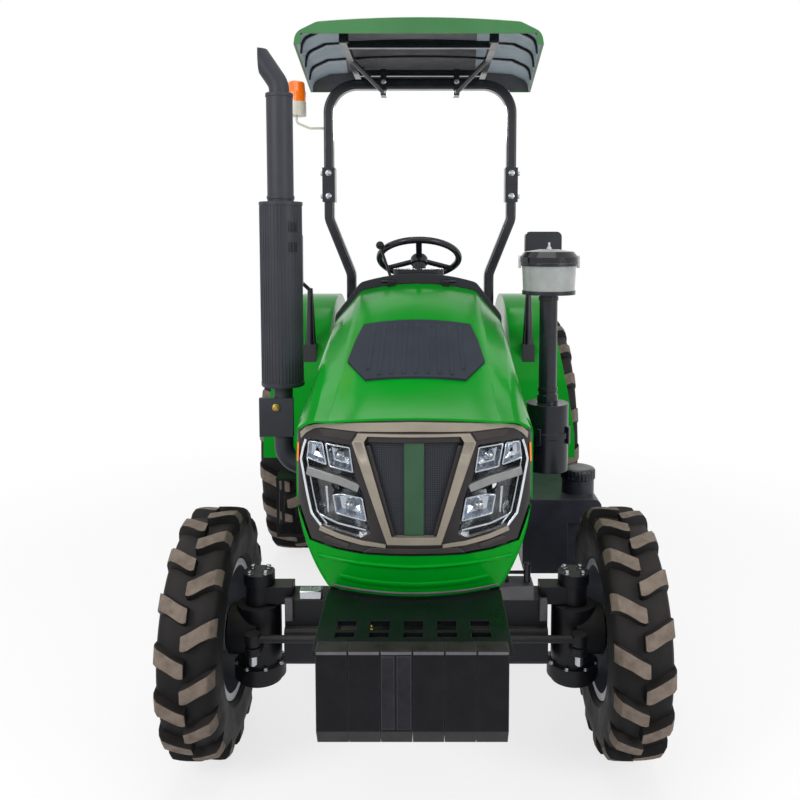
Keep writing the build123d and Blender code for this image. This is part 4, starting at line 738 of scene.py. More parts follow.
@dataclass
class Nose:
    """Nose trim over the dark fascia: silver grille frame, screen, lamps and sweeps."""

    front: float = FRONT_AXLE - 0.49
    half: float = 0.313
    sweep: float = 0.062
    chin_top: float = 0.96
    fascia_low: float = 0.788
    lean: float = 0.027
    step: float = 0.02
    frame_proud: float = 0.012
    frame_sunk: float = 0.02

    def face(self, x: float, z: float) -> float:
        """Gives the Y of the arched face at a place on it.

        Args:
            x: place across.
            z: height.

        Returns:
            The face's Y there.
        """
        up = min((z - self.fascia_low) / (self.chin_top - self.fascia_low), 1.0)
        half = self.half * (0.92 + 0.08 * up)
        arch = (half * half + self.sweep ** 2) / (2 * self.sweep)
        back = arch - math.sqrt(arch * arch - min(abs(x), half) ** 2)
        return self.front + back + self.lean * max(z - self.chin_top, 0.0)

    def trim(self, shape: Shape, line: Sequence[Point], widths: tuple[float, float], proud: float,
             sunk: float) -> None:
        """Adds a bar that follows a line across the face.

        Args:
            shape: mesh that gets the bar.
            line: corner points (x, z) of its middle.
            widths: its width at the start and at the end.
            proud: how far it stands in front of the face.
            sunk: how far it goes in behind the face.
        """
        path = spread(line, self.step)
        loops = []
        for i, (x, z) in enumerate(path):
            (xa, za), (xb, zb) = path[max(i - 1, 0)], path[min(i + 1, len(path) - 1)]
            run = Vector((xb - xa, zb - za)).normalized()
            half = 0.5 * (widths[0] + (widths[1] - widths[0]) * i / (len(path) - 1))
            loop = []
            for side, depth in ((1, proud), (1, -sunk), (-1, -sunk), (-1, proud)):
                px, pz = x - side * half * run.y, z + side * half * run.x
                loop.append((px, self.face(px, pz) - depth, pz))
            loops.append(loop)
        shape.loft(loops)

    def panel(self, shape: Shape, inner: Sequence[Point], outer: Sequence[Point], proud: float,
              sunk: float) -> None:
        """Adds a slab on the face between two edge lines.

        Args:
            shape: mesh that gets the slab.
            inner: points (x, z) of one edge.
            outer: points of the other edge, as many.
            proud: how far it stands in front of the face.
            sunk: how far it goes in behind the face.
        """
        columns, steps = 10, 4
        pairs = [(*a, *b) for a, b in zip(inner, outer)]
        fine = [pairs[0]]
        for one, two in zip(pairs, pairs[1:]):
            fine += [tuple(p + (q - p) * k / steps for p, q in zip(one, two)) for k in range(1, steps + 1)]
        loops = []
        for x0, z0, x1, z1 in fine:
            row = [(x0 + (x1 - x0) * k / columns, z0 + (z1 - z0) * k / columns) for k in range(columns + 1)]
            loops.append([(x, self.face(x, z) - proud, z) for x, z in row]
                         + [(x, self.face(x, z) + sunk, z) for x, z in row[::-1]])
        shape.loft(loops)

    def grille(self) -> None:
        """Builds the hexagonal frame, its dark bevel, the screen and the green stripe."""
        bars, bevel = Shape(), Shape()
        for s in SIDES.values():
            inner = flip([(0.058, 0.862), (0.13, 1.109), (0.12, 1.125)], s)
            outer = flip([(0.07, 0.842), (0.161, 1.107), (0.145, 1.132)], s)
            self.panel(bars, inner[:2], outer[:2], self.frame_proud, self.frame_sunk)
            self.panel(bars, inner[1:], outer[1:], self.frame_proud, self.frame_sunk)
            self.trim(bevel, flip([(0.054, 0.864), (0.122, 1.1)], s), (0.008, 0.014), 0.004, 0.012)
        for inner, outer in (((0.121, 1.125), (0.146, 1.132)), ((0.059, 0.862), (0.071, 0.842))):
            self.panel(bars, flip([inner], -1) + [inner], flip([outer], -1) + [outer],
                       self.frame_proud - 0.0002, self.frame_sunk)
        self.trim(bevel, [(-0.12, 1.117), (0.12, 1.117)], (0.018, 0.018), 0.004, 0.012)
        bars.piece("grille_frame", "hood", SILVER_TRIM, bevel=0.003, replaces=["grille"])
        bevel.piece("grille_bevel", "hood", NOSE_PLASTIC, bevel=0.002)
        edge = [(0.062, 0.86), (0.132, 1.105), (0.126, 1.122)]
        screen = Shape()
        self.panel(screen, flip(edge, -1), edge, -0.01, 0.016)
        screen.piece("grille_screen", "hood", GRILLE_SCREEN)
        stripe = Shape()
        edge = [(0.026, 0.861), (0.026, 1.115)]
        self.panel(stripe, flip(edge, -1), edge, -0.004, 0.012)
        stripe.piece("grille_stripe", "hood", STRIPE_GREEN, bevel=0.002)

    def cell(self, shape: Shape, s: int, corners: Sequence[Point], depth: float, start: float) -> None:
        """Adds one reflector bowl behind the lens.

        Args:
            shape: mesh that gets the bowl.
            s: 1 on the left, -1 on the right.
            corners: outline (x, z) of its mouth.
            depth: how deep it goes.
            start: how far its mouth lies behind the face.
        """
        line = spread(list(corners) + [corners[0]], 0.012)[:-1]
        cx = sum(x for x, _ in line) / len(line)
        cz = sum(z for _, z in line) / len(line)
        rows = [(1.03, start), (1.03, depth + 0.014), (0.2, depth + 0.015), (0.2, depth),
                (0.66, 0.86 * depth), (0.88, 0.5 * depth), (0.97, start + 0.003)]
        loops = []
        for size, back in rows:
            loop = []
            for x, z in line:
                px = cx + (x - cx) * size
                loop.append((s * px, self.face(px, z) + back, cz + (z - cz) * size))
            loops.append(loop)
        shape.loft(loops, wrap=True)

    def lamps(self) -> None:
        """Builds housings, reflectors, bulbs, cell bars, rims and lenses of both headlamps."""
        housing, bowls, glass, silver, rims, bulbs, amber = (Shape() for _ in range(7))
        upper = [(0.169, 1.09), (0.16, 1.026), (0.222, 1.038), (0.233, 1.097)]
        corner = [(0.243, 1.098), (0.232, 1.042), (0.284, 1.056), (0.279, 1.1)]
        lower = [(0.136, 0.958), (0.125, 0.898), (0.205, 0.914), (0.213, 0.962), (0.19, 0.966)]
        inner = [(0.117, 0.867), (0.12, 0.88), (0.123, 0.9), (0.128, 0.935), (0.132, 0.967), (0.142, 0.99),
                 (0.153, 1.011), (0.16, 1.055), (0.168, 1.097)]
        outer = [(0.141, 0.853), (0.195, 0.865), (0.246, 0.878), (0.272, 0.91), (0.282, 0.958),
                 (0.291, 1.005), (0.3, 1.054), (0.294, 1.083), (0.286, 1.107)]
        bar = [(0.144, 0.984), (0.2, 1.003), (0.286, 1.022)]
        bulb = [(0.05, 0.01), (0.03, 0.013), (0.02, 0.012), (0.014, 0.007), (0.012, 0)]
        step = [(x - 0.015, z + 0.004) for x, z in outer[2:7]]
        # Thin bright lines: middle, widths at both ends, how far they stand out and go in
        lines = [(outer[2:], (0.007, 0.006), 0.0055, 0.01), (step, (0.004, 0.003), -0.002, 0.01),
                 ([(0.125, 0.874), (0.2, 0.887), (0.25, 0.906)], (0.005, 0.006), -0.002, 0.012),
                 ([(0.226, 0.915), (0.231, 0.985)], (0.005, 0.007), -0.002, 0.012)]
        for s in SIDES.values():
            self.cell(housing, s, inner[::-1] + outer, 0.06, 0.008)
            for corners, depth in ((upper, 0.04), (corner, 0.03), (lower, 0.035)):
                self.cell(bowls, s, corners, depth, 0.005)
                loop = flip(corners + corners[:1], s)
                for one, two in zip(loop, loop[1:]):
                    self.trim(rims, [one, two], (0.004, 0.004), -0.003, 0.009)
            for x, z in ((0.197, 1.064), (0.17, 0.932)):
                bulbs.lathe(bulb, (s * x, self.face(x, z), z), (0, 1, 0), 20)
            self.panel(glass, flip(inner, s), flip(outer, s), 0.004, -0.002)
            self.trim(silver, flip(bar, s), (0.022, 0.024), -0.001, 0.02)
            for line, widths, proud, sunk in lines:
                self.trim(rims, flip(line, s), widths, proud, sunk)
            self.trim(amber, flip([(0.3075, 1.095), (0.3095, 1.045)], s), (0.005, 0.005), 0.002, 0.008)
        housing.piece("headlamp_housings", "hood", LAMP_HOUSING, replaces=["headlamps"])
        bowls.piece("headlamp_reflectors", "hood", REFLECTOR)
        bulbs.piece("headlamp_bulbs", "hood", BRIGHT_STEEL)
        silver.piece("headlamp_bars", "hood", LAMP_BAR, bevel=0.002)
        rims.piece("headlamp_rims", "hood", REFLECTOR, bevel=0.001)
        amber.piece("side_markers", "hood", AMBER_LENS, bevel=0.001)
        glass.piece("headlamp_lenses", "hood", CLEAR_LENS, bevel=0.001)

    def bands(self) -> None:
        """Builds the brow band and insets, the sweep under the lamps, the lip and the slots beside it."""
        silver, brown = Shape(), Shape()
        low = [(0.0, 1.138), (0.146, 1.1355), (0.24, 1.1415), (0.262, 1.138), (0.285, 1.124), (0.299, 1.108)]
        high = [(0.0, 1.163), (0.146, 1.159), (0.224, 1.154), (0.262, 1.149), (0.284, 1.142), (0.302, 1.124)]
        self.panel(silver, flip(low[:0:-1], -1) + low, flip(high[:0:-1], -1) + high, 0.005, 0.01)
        sweep = [(0.25, 0.872), (0.197, 0.8545), (0.135, 0.8415), (0.074, 0.836)]
        brow = [(0.163, 1.112), (0.238, 1.119)], [(0.149, 1.133), (0.252, 1.138)]
        slot = [(0.176, 0.826), (0.245, 0.846)], [(0.168, 0.836), (0.232, 0.854)]
        for s in SIDES.values():
            self.panel(brown, flip(brow[0], s), flip(brow[1], s), 0.002, 0.008)
            self.trim(silver, flip(sweep, s), (0.014, 0.01), 0.006, 0.012)
            self.panel(brown, flip(slot[0], s), flip(slot[1], s), 0.005, 0.008)
        self.panel(brown, [(-0.134, 0.817), (0.134, 0.817)], [(-0.112, 0.831), (0.112, 0.831)], 0.007, 0.01)
        silver.piece("nose_bands", "hood", SILVER_TRIM, bevel=0.002)
        brown.piece("nose_insets", "hood", BROWN_ABS, bevel=0.002)

    def build(self) -> None:
        """Builds all of the nose."""
        self.grille()
        self.lamps()
        self.bands()


@dataclass
class Hood:
    """Ribs of the hood's vent, covers of its hinges, pressed lines of the chin and baffles behind it."""

    vent_front: float = FRONT_AXLE - 0.15
    vent_length: float = 0.41
    rib_pitch: float = 0.036
    rib_foot: float = 0.009
    rib_crown: float = 0.004
    rib_rise: float = 0.003
    vent_flat: float = 0.125
    vent_slant: float = 2.6
    hinge_y: float = FRONT_AXLE + 0.788
    hinge_z: float = 1.456

    def ridge(self, shape: Shape, line: Sequence[Point], width: float, rise: float) -> None:
        """Adds a pressed ridge that follows a line on the chin.

        Args:
            shape: mesh that gets the ridge.
            line: corner points (x, z), seen from the front.
            width: width of its foot.
            rise: how far it stands out.
        """
        rows = []
        for x, z in spread(line, 0.02):
            loop = []
            for off, out in ((-0.5, -0.003), (-0.22, rise), (0.22, rise), (0.5, -0.003)):
                spot = touch("chin", (x, FRONT_AXLE - 1.2, z + off * width), (0, 1, 0))
                loop.append(spot - Vector((0, out, 0)))
            rows.append(loop)
        shape.loft(rows)

    def build(self) -> None:
        """Builds the vent's ribs, the hinge covers, the chin's creases and hem, and the baffles."""
        ribs = Shape()
        for k in range(-4, 5):
            x = k * self.rib_pitch
            start = self.vent_front + max(abs(x) - self.vent_flat, 0.0) * self.vent_slant
            rows = []
            for i in range(9):
                y = start + (self.vent_front + self.vent_length - start) * i / 8
                z = touch("hood_vent", (x, y, 2.0), (0, 0, -1)).z
                low, high = z - 0.002, z + self.rib_rise
                rows.append([(x - self.rib_foot, y, low), (x + self.rib_foot, y, low),
                             (x + self.rib_crown, y, high), (x - self.rib_crown, y, high)])
            ribs.loft(rows)
        ribs.piece("hood_vent_ribs", "hood", VENT_PLASTIC, bevel=0.002)
        covers = Shape()
        for s in SIDES.values():
            x0, x1 = sorted((s * 0.0955, s * 0.1245))
            covers.box((x0, self.hinge_y - 0.039, self.hinge_z - 0.02),
                       (x1, self.hinge_y, self.hinge_z + 0.001))
            covers.lathe([(x0, 0.0065), (x1, 0.0065)], (0, self.hinge_y, self.hinge_z), (1, 0, 0), 20)
        covers.piece("hood_hinge_covers", "hood", BLACK_POWDER, bevel=0.001)
        creases = Shape()
        upper = [(-0.262, 0.789), (-0.147, 0.782), (0, 0.778), (0.147, 0.782), (0.262, 0.789)]
        lower = [(-0.2, 0.732), (-0.133, 0.725), (0, 0.722), (0.133, 0.725), (0.2, 0.732)]
        self.ridge(creases, upper, 0.016, 0.006)
        self.ridge(creases, lower, 0.026, 0.003)
        creases.piece("chin_creases", "chassis", GREEN_ENAMEL, bevel=0.003)
        hem = Shape()
        self.ridge(hem, [(-0.228, 0.6965), (0.228, 0.6965)], 0.012, 0.003)
        hem.piece("chin_hem", "chassis", GREY_CAST, bevel=0.002)
        baffles = Shape().twins((0.2245, FRONT_AXLE - 0.21, 0.69), (0.288, FRONT_AXLE - 0.198, 0.86))
        baffles.piece("radiator_baffles", "chassis", POLY_BLACK, bevel=0.002)


@dataclass
class Exhaust:
    """Ridges of the muffler's shield, dark strips in its slots as painted shade, bands and the bolt of the
    lower plate.
    """

    x: float = -0.48
    y: float = FRONT_AXLE + 0.35
    radius: float = 0.074
    low: float = 1.125
    high: float = 1.745
    pipe: float = 0.046
    ridges: int = 22
    ridge_step: float = 9
    slots: int = 4
    slot_step: float = 7

    def strip(self, shape: Shape, angle: float, span: tuple[float, float], half: float, proud: float) -> None:
        """Adds one upright strip on the shield.

        Args:
            shape: mesh that gets the strip.
            angle: where it lies, in degrees.
            span: its lower and upper end.
            half: half its width.
            proud: how far it stands out.
        """
        out = Vector((math.cos(math.radians(angle)), math.sin(math.radians(angle)), 0))
        side = Vector((-out.y, out.x, 0)) * half
        foot = Vector((self.x, self.y, 0)) + out * (self.radius - 0.002)
        low, high = (foot + Vector((0, 0, z)) for z in span)
        shape.prism([low - side, low + side, high + side, high - side], out * (proud + 0.002))

    def build(self) -> None:
        """Builds the ridges, the dark strips painted as shade in the slots, the bands and the bolt."""
        ridges, slots = Shape(), Shape()
        for k in range(self.ridges):
            self.strip(ridges, -200 + self.ridge_step * k, (self.low, self.high), 0.0022, 0.0015)
        # Slots: black strips standing on the shield, painted shade for the openings
        for k in range(self.slots):
            for low, high in ((0.09, 0.055), (0.16, 0.125)):
                span = (self.high - low, self.high - high)
                self.strip(slots, -58 + self.slot_step * k, span, 0.003, 0.0022)
        ridges.piece("muffler_ridges", "chassis", HEAT_PAINT, bevel=0.0008)
        slots.piece("muffler_slot_painted_shade", "chassis", BLACK_POWDER, bevel=0.0008)
        bands = Shape()
        for z, r in ((self.low - 0.008, self.radius), (self.high + 0.008, self.radius),
                     (1.775, self.pipe), (2.128, self.pipe)):
            bands.band((self.x, self.y, z), 0.006, r - 0.002, r + 0.0025, 48)
        bands.piece("exhaust_bands", "chassis", HEAT_PAINT, bevel=0.001)
        bolt = Shape().bolt((self.x - 0.02, self.y - 0.04, 1.035), (0, -1, 0), 0.019)
        bolt.piece("exhaust_plate_bolt", "chassis", BRASSY_STEEL, bevel=0.0008)


@dataclass
class Intake:
    """Latches and bands of the air cleaner, stud and clips of the pre-cleaner's lid."""

    x: float = 0.466
    y: float = FRONT_AXLE + 0.35
    canister: float = 0.075
    latch_middle: float = 0.936
    latch_half: float = 0.01
    latch_tall: float = 0.03
    latch_thick: float = 0.01
    pipe: float = 0.032
    bowl_high: float = 1.548
    lid_rim: float = 0.1035
    lid_rise: float = 0.046

    def build(self) -> None:
        """Builds all fittings of the intake."""
        clips = Shape()
        wide, tall = self.latch_half, self.latch_tall
        corners = ((-wide, -tall), (wide, -tall), (wide, tall), (-wide, tall))
        for k in range(4):
            a = math.radians(-120 + 90 * k)
            out = Vector((math.cos(a), math.sin(a), 0))
            side = Vector((-out.y, out.x, 0))
            middle = Vector((self.x, self.y, self.latch_middle)) + out * (self.canister + 0.001)
            clips.prism([middle + side * u + Vector((0, 0, v)) for u, v in corners], out * self.latch_thick)
        clips.piece("air_cleaner_latches", "chassis", POLY_BLACK, bevel=0.002)
        bands = Shape()
        for z in (1.095, 1.42):
            bands.band((self.x, self.y, z), 0.007, self.pipe, self.pipe + 0.003, 36)
        bands.piece("intake_clamps", "chassis", POLY_BLACK)
        fixings = Shape()
        top = self.bowl_high + self.lid_rise
        fixings.bolt((self.x, self.y, top), (0, 0, 1), 0.014)
        fixings.tube([(self.x, self.y, top), (self.x, self.y, top + 0.024)], 0.004)
        for side in (-1, 1):
            rim = self.x + side * self.lid_rim
            fixings.box((rim - 0.004, self.y - 0.011, self.bowl_high - 0.02),
                        (rim + 0.004, self.y + 0.011, top - 0.022))
        fixings.piece("precleaner_lid_fixings", "chassis", BRIGHT_STEEL, bevel=0.001)
        seam = Shape().band((self.x, self.y, self.bowl_high - 0.007), 0.005, 0.096, 0.101, 48)
        seam.piece("precleaner_band", "chassis", POLY_BLACK)


@dataclass
class Canopy:
    """Grey lining under the roof, pale at its sides as painted light, with its dark cross ribs, and the bolts
    of the roll bar below it.
    """

    front: float = REAR_AXLE - 0.79
    length: float = 1.19
    front_half: float = 0.53
    rear_half: float = 0.62
    top: float = 2.6
    edge: float = 2.453
    lip: float = 2.497
    corner_in: float = 0.008
    corner_drop: float = 0.06
    rounding: float = 0.03
    shoulder: float = 0.096
    crown: float = 0.018
    end_gap: float = 0.012
    bar_y: float = REAR_AXLE + 0.06
    bar_half: float = 0.045

    def section(self, along: float, inset: float) -> list[Vector]:
        """Gives the roof's section, drawn in from its skin.

        Args:
            along: place from front to rear, from 0 to 1.
            inset: distance from the skin.

        Returns:
            Points from the right edge over the top to the left edge.
        """
        drops = [(0.0, 0.04), (0.1, 0.008), (0.5, 0.0), (1.0, 0.022)]
        a, b = next((p, q) for p, q in zip(drops, drops[1:]) if along <= q[0])
        drop = a[1] + (b[1] - a[1]) * (along - a[0]) / (b[0] - a[0])
        w = self.front_half + (self.rear_half - self.front_half) * along - inset
        zt = self.top - drop - inset
        flat = w - self.shoulder
        corner = Vector((w - self.corner_in, zt - self.corner_drop))
        down = (Vector((w, self.edge)) - corner).normalized() * self.rounding
        over = (Vector((flat, zt - self.crown)) - corner).normalized() * self.rounding
        half = [Vector((w, self.edge))]
        for k in range(7):
            t = k / 6
            half.append((corner + down) * (1 - t) ** 2 + corner * 2 * t * (1 - t) + (corner + over) * t * t)
        shares = [1 - k / 10 for k in range(10)]
        half += [Vector((flat * share, zt - self.crown * share ** 2 - 0.001)) for share in shares]
        y = self.front + self.end_gap + (self.length - 2 * self.end_gap) * along
        right = [Vector((-p.x, y, p.y)) for p in half]
        return right + [Vector((0, y, zt - 0.001))] + [Vector((p.x, y, p.y)) for p in half[::-1]]

    def sheet(self, shape: Shape, span: tuple[float, float], rows: int, drop: float, thick: float,
              tints: Sequence[int] = ()) -> None:
        """Adds a curved sheet that follows the roof.

        Args:
            shape: mesh that gets the sheet.
            span: its front and rear end, from 0 to 1.
            rows: steps from front to rear.
            drop: distance below the skin.
            thick: thickness of the sheet.
            tints: material number of each strip of the section.
        """
        alongs = [span[0] + (span[1] - span[0]) * i / rows for i in range(rows + 1)]
        loops = [self.section(a, drop) + self.section(a, drop + thick)[::-1] for a in alongs]
        shape.loft(loops, tints=tints)

    def build(self) -> None:
        """Builds lining, ribs and bolts."""
        count = len(self.section(0.5, 0.0))
        # The outer strips of the lining take the pale finish: painted light on the shaded sides
        painted_light_strips = [1 if k < 11 or k > count - 13 else 0 for k in range(count)]
        lining = Shape()
        self.sheet(lining, (0.0, 1.0), 20, 0.0095, 0.003, painted_light_strips + painted_light_strips[::-1])
        back = [p for p in self.section(0.995, 0.013) if p.z > self.lip]
        ends = [Vector((p.x, p.y, self.lip)) for p in (back[-1], back[0])]
        lining.prism(back + ends, (0, -0.003, 0))
        lining.twins((0.44, back[0].y - 0.003, self.edge + 0.004),
                     (self.rear_half - 0.014, back[0].y, self.lip + 0.001))
        lining.piece("canopy_lining", "chassis", CANOPY_LINING, CANOPY_PAINTED_LIGHT, smooth=60)
        ribs = Shape()
        for along in (0.16, 0.42, 0.7):
            self.sheet(ribs, (along, along + 0.016), 2, 0.012, 0.01)
        ribs.piece("canopy_ribs", "chassis", POLY_BLACK, bevel=0.003, smooth=60)
        bolts = Shape()
        y = self.bar_y - self.bar_half
        for s in SIDES.values():
            for z in (2.44, 2.39):
                bolts.bolt((s * 0.19, y, z), (0, -1, 0), 0.019)
            for z in (1.85, 1.97):
                bolts.bolt((s * 0.48, y + 0.002, z), (0, -1, 0), 0.022)
                bolts.bolt((s * 0.513, self.bar_y, z), (s, 0, 0), 0.022)
        bolts.piece("roll_bar_bolts", "chassis", BRIGHT_STEEL, bevel=0.0008)


@dataclass
class Beacon:
    """Fluted amber lens over its cream foot."""

    x: float = -0.65
    y: float = REAR_AXLE + 0.06
    low: float = 2.342
    radius: float = 0.05

    def build(self) -> None:
        """Builds the lens with upright flutes."""
        profile = [(0.0, 1.0, 0.0), (0.004, 1.0, 0.5), (0.048, 1.0, 0.5), (0.053, 0.97, 0.0),
                   (0.058, 0.92, 0.3), (0.095, 0.87, 0.3), (0.102, 0.8, 0.0), (0.107, 0.6, 0.0),
                   (0.108, 0.02, 0.0)]
        lens = Shape().fluted((self.x, self.y, self.low), self.radius, profile, 24)
        lens.piece("beacon_fluted_lens", "chassis", AMBER_LENS, smooth=60, replaces=["beacon_lens"])


@dataclass
class Axle:
    """Bolts, stops and fittings of the front axle."""

    kingpin: float = 0.505
    cap_top: float = 0.568
    pan_top: float = 0.275
    arm_low: float = 0.348
    rod_z: float = 0.398
    arm: float = 0.115
    beam_top: float = 0.494

    def ring(self, shape: Shape, x: float, z: float, circle: float, count: int, across: float) -> None:
        """Adds a ring of bolts round a kingpin.

        Args:
            shape: mesh that gets the bolts.
            x: the kingpin's place across.
            z: height of the face that they stand on.
            circle: radius of the ring.
            count: how many bolts there are.
            across: width across a head's flats.
        """
        for k in range(count):
            a = math.tau * (k + 0.5) / count
            spot = (x + circle * math.cos(a), FRONT_AXLE + circle * math.sin(a), z)
            shape.bolt(spot, (0, 0, 1), across)

    def build(self) -> None:
        """Builds the fittings on both sides."""
        y = FRONT_AXLE - self.arm
        nut = [(0, 0.013), (0.03, 0.013), (0.034, 0.01), (0.036, 0)]
        union = [(-0.004, 0.014), (0.012, 0.014), (0.014, 0.01), (0.034, 0.01), (0.036, 0.007), (0.036, 0)]
        fittings = Shape()
        for name, s in SIDES.items():
            bolts = Shape()
            x = s * self.kingpin
            self.ring(bolts, x, self.cap_top, 0.036, 4, 0.016)
            self.ring(bolts, x, self.pan_top, 0.076, 8, 0.012)
            bolts.lathe(nut, (x, y, self.arm_low), (0, 0, -1), 18)
            bolts.piece(f"knuckle_bolts_{name}", f"knuckle_{name}", BRIGHT_STEEL, bevel=0.0006)
            fittings.lathe(union, (s * 0.14, y, self.rod_z + 0.028), (0, 0, 1), 6)
        fittings.piece("steering_cylinder_fittings", "chassis", BRASSY_STEEL, bevel=0.001)
        stops = Shape().twins((0.388, FRONT_AXLE - 0.069, 0.432), (0.413, FRONT_AXLE - 0.054, 0.505))
        stops.box((0.262, FRONT_AXLE - 0.056, self.beam_top), (0.372, FRONT_AXLE + 0.03, 0.54))
        stops.piece("axle_stops_and_tray", "chassis", GREY_CAST, bevel=0.003)
        bracket = Shape().box((-0.37, FRONT_AXLE - 0.05, self.beam_top), (-0.3, FRONT_AXLE - 0.01, 0.522))
        bracket.piece("axle_bracket", "chassis", BRIGHT_STEEL, bevel=0.003)
        stem, knob = FRONT_AXLE - 0.02, FRONT_AXLE - 0.03
        pull = Shape().tube([(0.29, stem, 0.538), (0.29, stem, 0.572), (0.352, knob, 0.576)], 0.006)
        pull.tube([(0.352, knob, 0.545), (0.352, knob, 0.607)], 0.011)
        pull.piece("radiator_drain_pull", "chassis", POLY_BLACK, bevel=0.002)


@dataclass
class Weights:
    """Worn strips of the front weights and a painted highlight along their upper edge."""

    front: float = FRONT_AXLE - 0.78
    spread: float = 0.442
    count: int = 6
    worn_slab: int = 2
    low: float = 0.471
    high: float = 0.702

    def build(self) -> None:
        """Builds the two worn strips of one slab and a grey strip along the upper edge, a painted highlight.
        """
        pitch = self.spread / self.count
        left = -self.spread / 2 + self.worn_slab * pitch
        faces = Shape()
        for start, end in ((0.03, 0.45), (0.51, 0.97)):
            faces.box((left + start * pitch, self.front - 0.0012, self.low + 0.045),
                      (left + end * pitch, self.front + 0.002, self.high - 0.012))
        faces.piece("weight_worn_faces", "chassis", WEIGHT_WORN, bevel=0.001)
        # A grey strip along the weights' upper front edge: a painted highlight
        edge = Shape()
        for k in range(self.count):
            x = -self.spread / 2 + k * pitch
            edge.box((x + 0.002, self.front - 0.001, self.high - 0.009),
                     (x + pitch - 0.002, self.front + 0.003, self.high - 0.002))
        edge.piece("weight_edge_painted_highlight", "chassis", GREY_CAST, bevel=0.001)


@dataclass
class Tank:
    """Ridged filler cap of the fuel tank."""

    x: float = 0.628
    y: float = FRONT_AXLE + 0.61
    low: float = 0.694
    radius: float = 0.067

    def build(self) -> None:
        """Builds the cap with its grip ridges."""
        profile = [(0.0, 0.96, 1), (0.004, 1.0, 1), (0.034, 1.0, 1), (0.041, 0.93, 0), (0.044, 0.8, 0),
                   (0.042, 0.5, 0), (0.042, 0.01, 0)]
        cap = Shape().fluted((self.x, self.y, self.low), self.radius, profile, 28)
        cap.piece("fuel_cap_ridged", "chassis", POLY_BLACK, smooth=50, replaces=["fuel_cap"])


@dataclass
class Seat:
    """Padded seat cushion and back, swelled by a cloth simulation."""

    half: float = 0.235
    cushion_low: float = 0.97
    cushion_high: float = 1.05
    back_low: float = 1.06
    back_high: float = 1.35
    swell: float = 0.012
    voxel: float = 0.006
    pressure: float = 4.0
    channel: float = 0.075
    channel_half: float = 0.007
    channel_depth: float = 0.009
    rounding: float = 0.02
    frames: int = 20

    def pad(self, name: str, low: Point, high: Point, face_axis: int) -> None:
        """Builds one pad.

        Args:
            name: the piece's name.
            low: lowest corner of the pad's space.
            high: highest corner.
            face_axis: axis of the pad's thickness.
        """
        shape = Shape().box([c + self.swell for c in low], [c - self.swell for c in high])
        obj = shape.piece(name, "chassis", SEAT_VINYL, replaces=["seat_pads"])
        bm = bmesh.new()
        bm.from_mesh(obj.data)
        bmesh.ops.bevel(bm, geom=bm.edges[:], offset=self.rounding, segments=4, affect="EDGES", profile=0.5)
        bm.to_mesh(obj.data)
        bm.free()
        remesh = obj.modifiers.new("remesh", "REMESH")
        remesh.mode = "VOXEL"
        remesh.voxel_size = self.voxel
        self.bake(obj)
        rest = [v.co.copy() for v in obj.data.vertices]
        cloth = obj.modifiers.new("cloth", "CLOTH")
        cloth.settings.use_pressure = True
        cloth.settings.uniform_pressure_force = self.pressure
        cloth.settings.effector_weights.gravity = 0.0
        for step in range(1, self.frames + 1):
            bpy.context.scene.frame_set(step)
        self.bake(obj)
        bpy.context.scene.frame_set(1)
        middle = [(a + b) / 2 for a, b in zip(low, high)]
        for vertex, start in zip(obj.data.vertices, rest):
            move = vertex.co - start
            vertex.co = start + move * min(1.0, self.swell / max(move.length, 1e-9))
            across = vertex.co.x - middle[0]
            gaps = (across + self.channel, across - self.channel)
            groove = sum(math.exp(-(gap / self.channel_half) ** 2) for gap in gaps)
            outward = math.copysign(1, vertex.co[face_axis] - middle[face_axis])
            vertex.co[face_axis] -= self.channel_depth * groove * outward
            for axis in range(3):
                vertex.co[axis] = min(max(vertex.co[axis], low[axis]), high[axis])
        obj.data.shade_smooth()
        obj.modifiers.new("subdivision", "SUBSURF").levels = 1
        obj.modifiers["subdivision"].render_levels = 1

    @staticmethod
    def bake(obj: bpy.types.Object) -> None:
        """Applies a piece's modifiers to its mesh.

        Args:
            obj: the piece.
        """
        shown = obj.evaluated_get(bpy.context.evaluated_depsgraph_get())
        mesh = bpy.data.meshes.new_from_object(shown)
        obj.modifiers.clear()
        obj.data = mesh

    def build(self) -> None:
        """Builds cushion and back."""
        y = REAR_AXLE
        self.pad("seat_cushion", (-self.half, y - 0.3, self.cushion_low),
                 (self.half, y + 0.05, self.cushion_high), 2)
        self.pad("seat_back", (-self.half, y + 0.06, self.back_low),
                 (self.half, y + 0.11, self.back_high), 1)


@dataclass
class Cab:
    """Cap of the steering wheel, mirror glasses and bars of the platform."""

    ring: Point = (0.0, FRONT_AXLE + 1.17, 1.54)
    tilt: float = 28.0
    mirrors: Point = (0.56, -0.61)
    mirror_y: float = REAR_AXLE - 0.59
    mirror_half: float = 0.066
    mirror_low: float = 1.42
    mirror_high: float = 1.635
    tread_start: float = -0.02
    tread_pitch: float = 0.05
    treads: int = 9

    def build(self) -> None:
        """Builds the wheel's cap, the mirror glasses and the tread plate's bars."""
        lean = math.radians(self.tilt)
        axis = Vector((0, math.sin(lean), math.cos(lean)))
        dome = [(-0.002, 0.036), (0.004, 0.036), (0.012, 0.03), (0.016, 0.02), (0.017, 0)]
        cap = Shape().lathe(dome, self.ring, axis, 32)
        cap.piece("steering_wheel_cap", "steering_wheel", POLY_BLACK, smooth=50)
        glass = Shape()
        for x in self.mirrors:
            x0, x1 = x - self.mirror_half, x + self.mirror_half
            low, high = self.mirror_low, self.mirror_high
            corners = [(x0, low), (x1, low), (x1, high), (x0, high)]
            glass.prism([(u, self.mirror_y, v) for u, v in corners], (0, 0.002, 0))
        glass.piece("mirror_glass", "chassis", MIRROR_GLASS, bevel=0.001)
        treads = Shape()
        for k in range(self.treads):
            y = self.tread_start + self.tread_pitch * k
            treads.twins((0.2, y, 0.611), (0.41, y + 0.012, 0.616))
        treads.piece("platform_treads", "chassis", BLACK_POWDER, bevel=0.002)


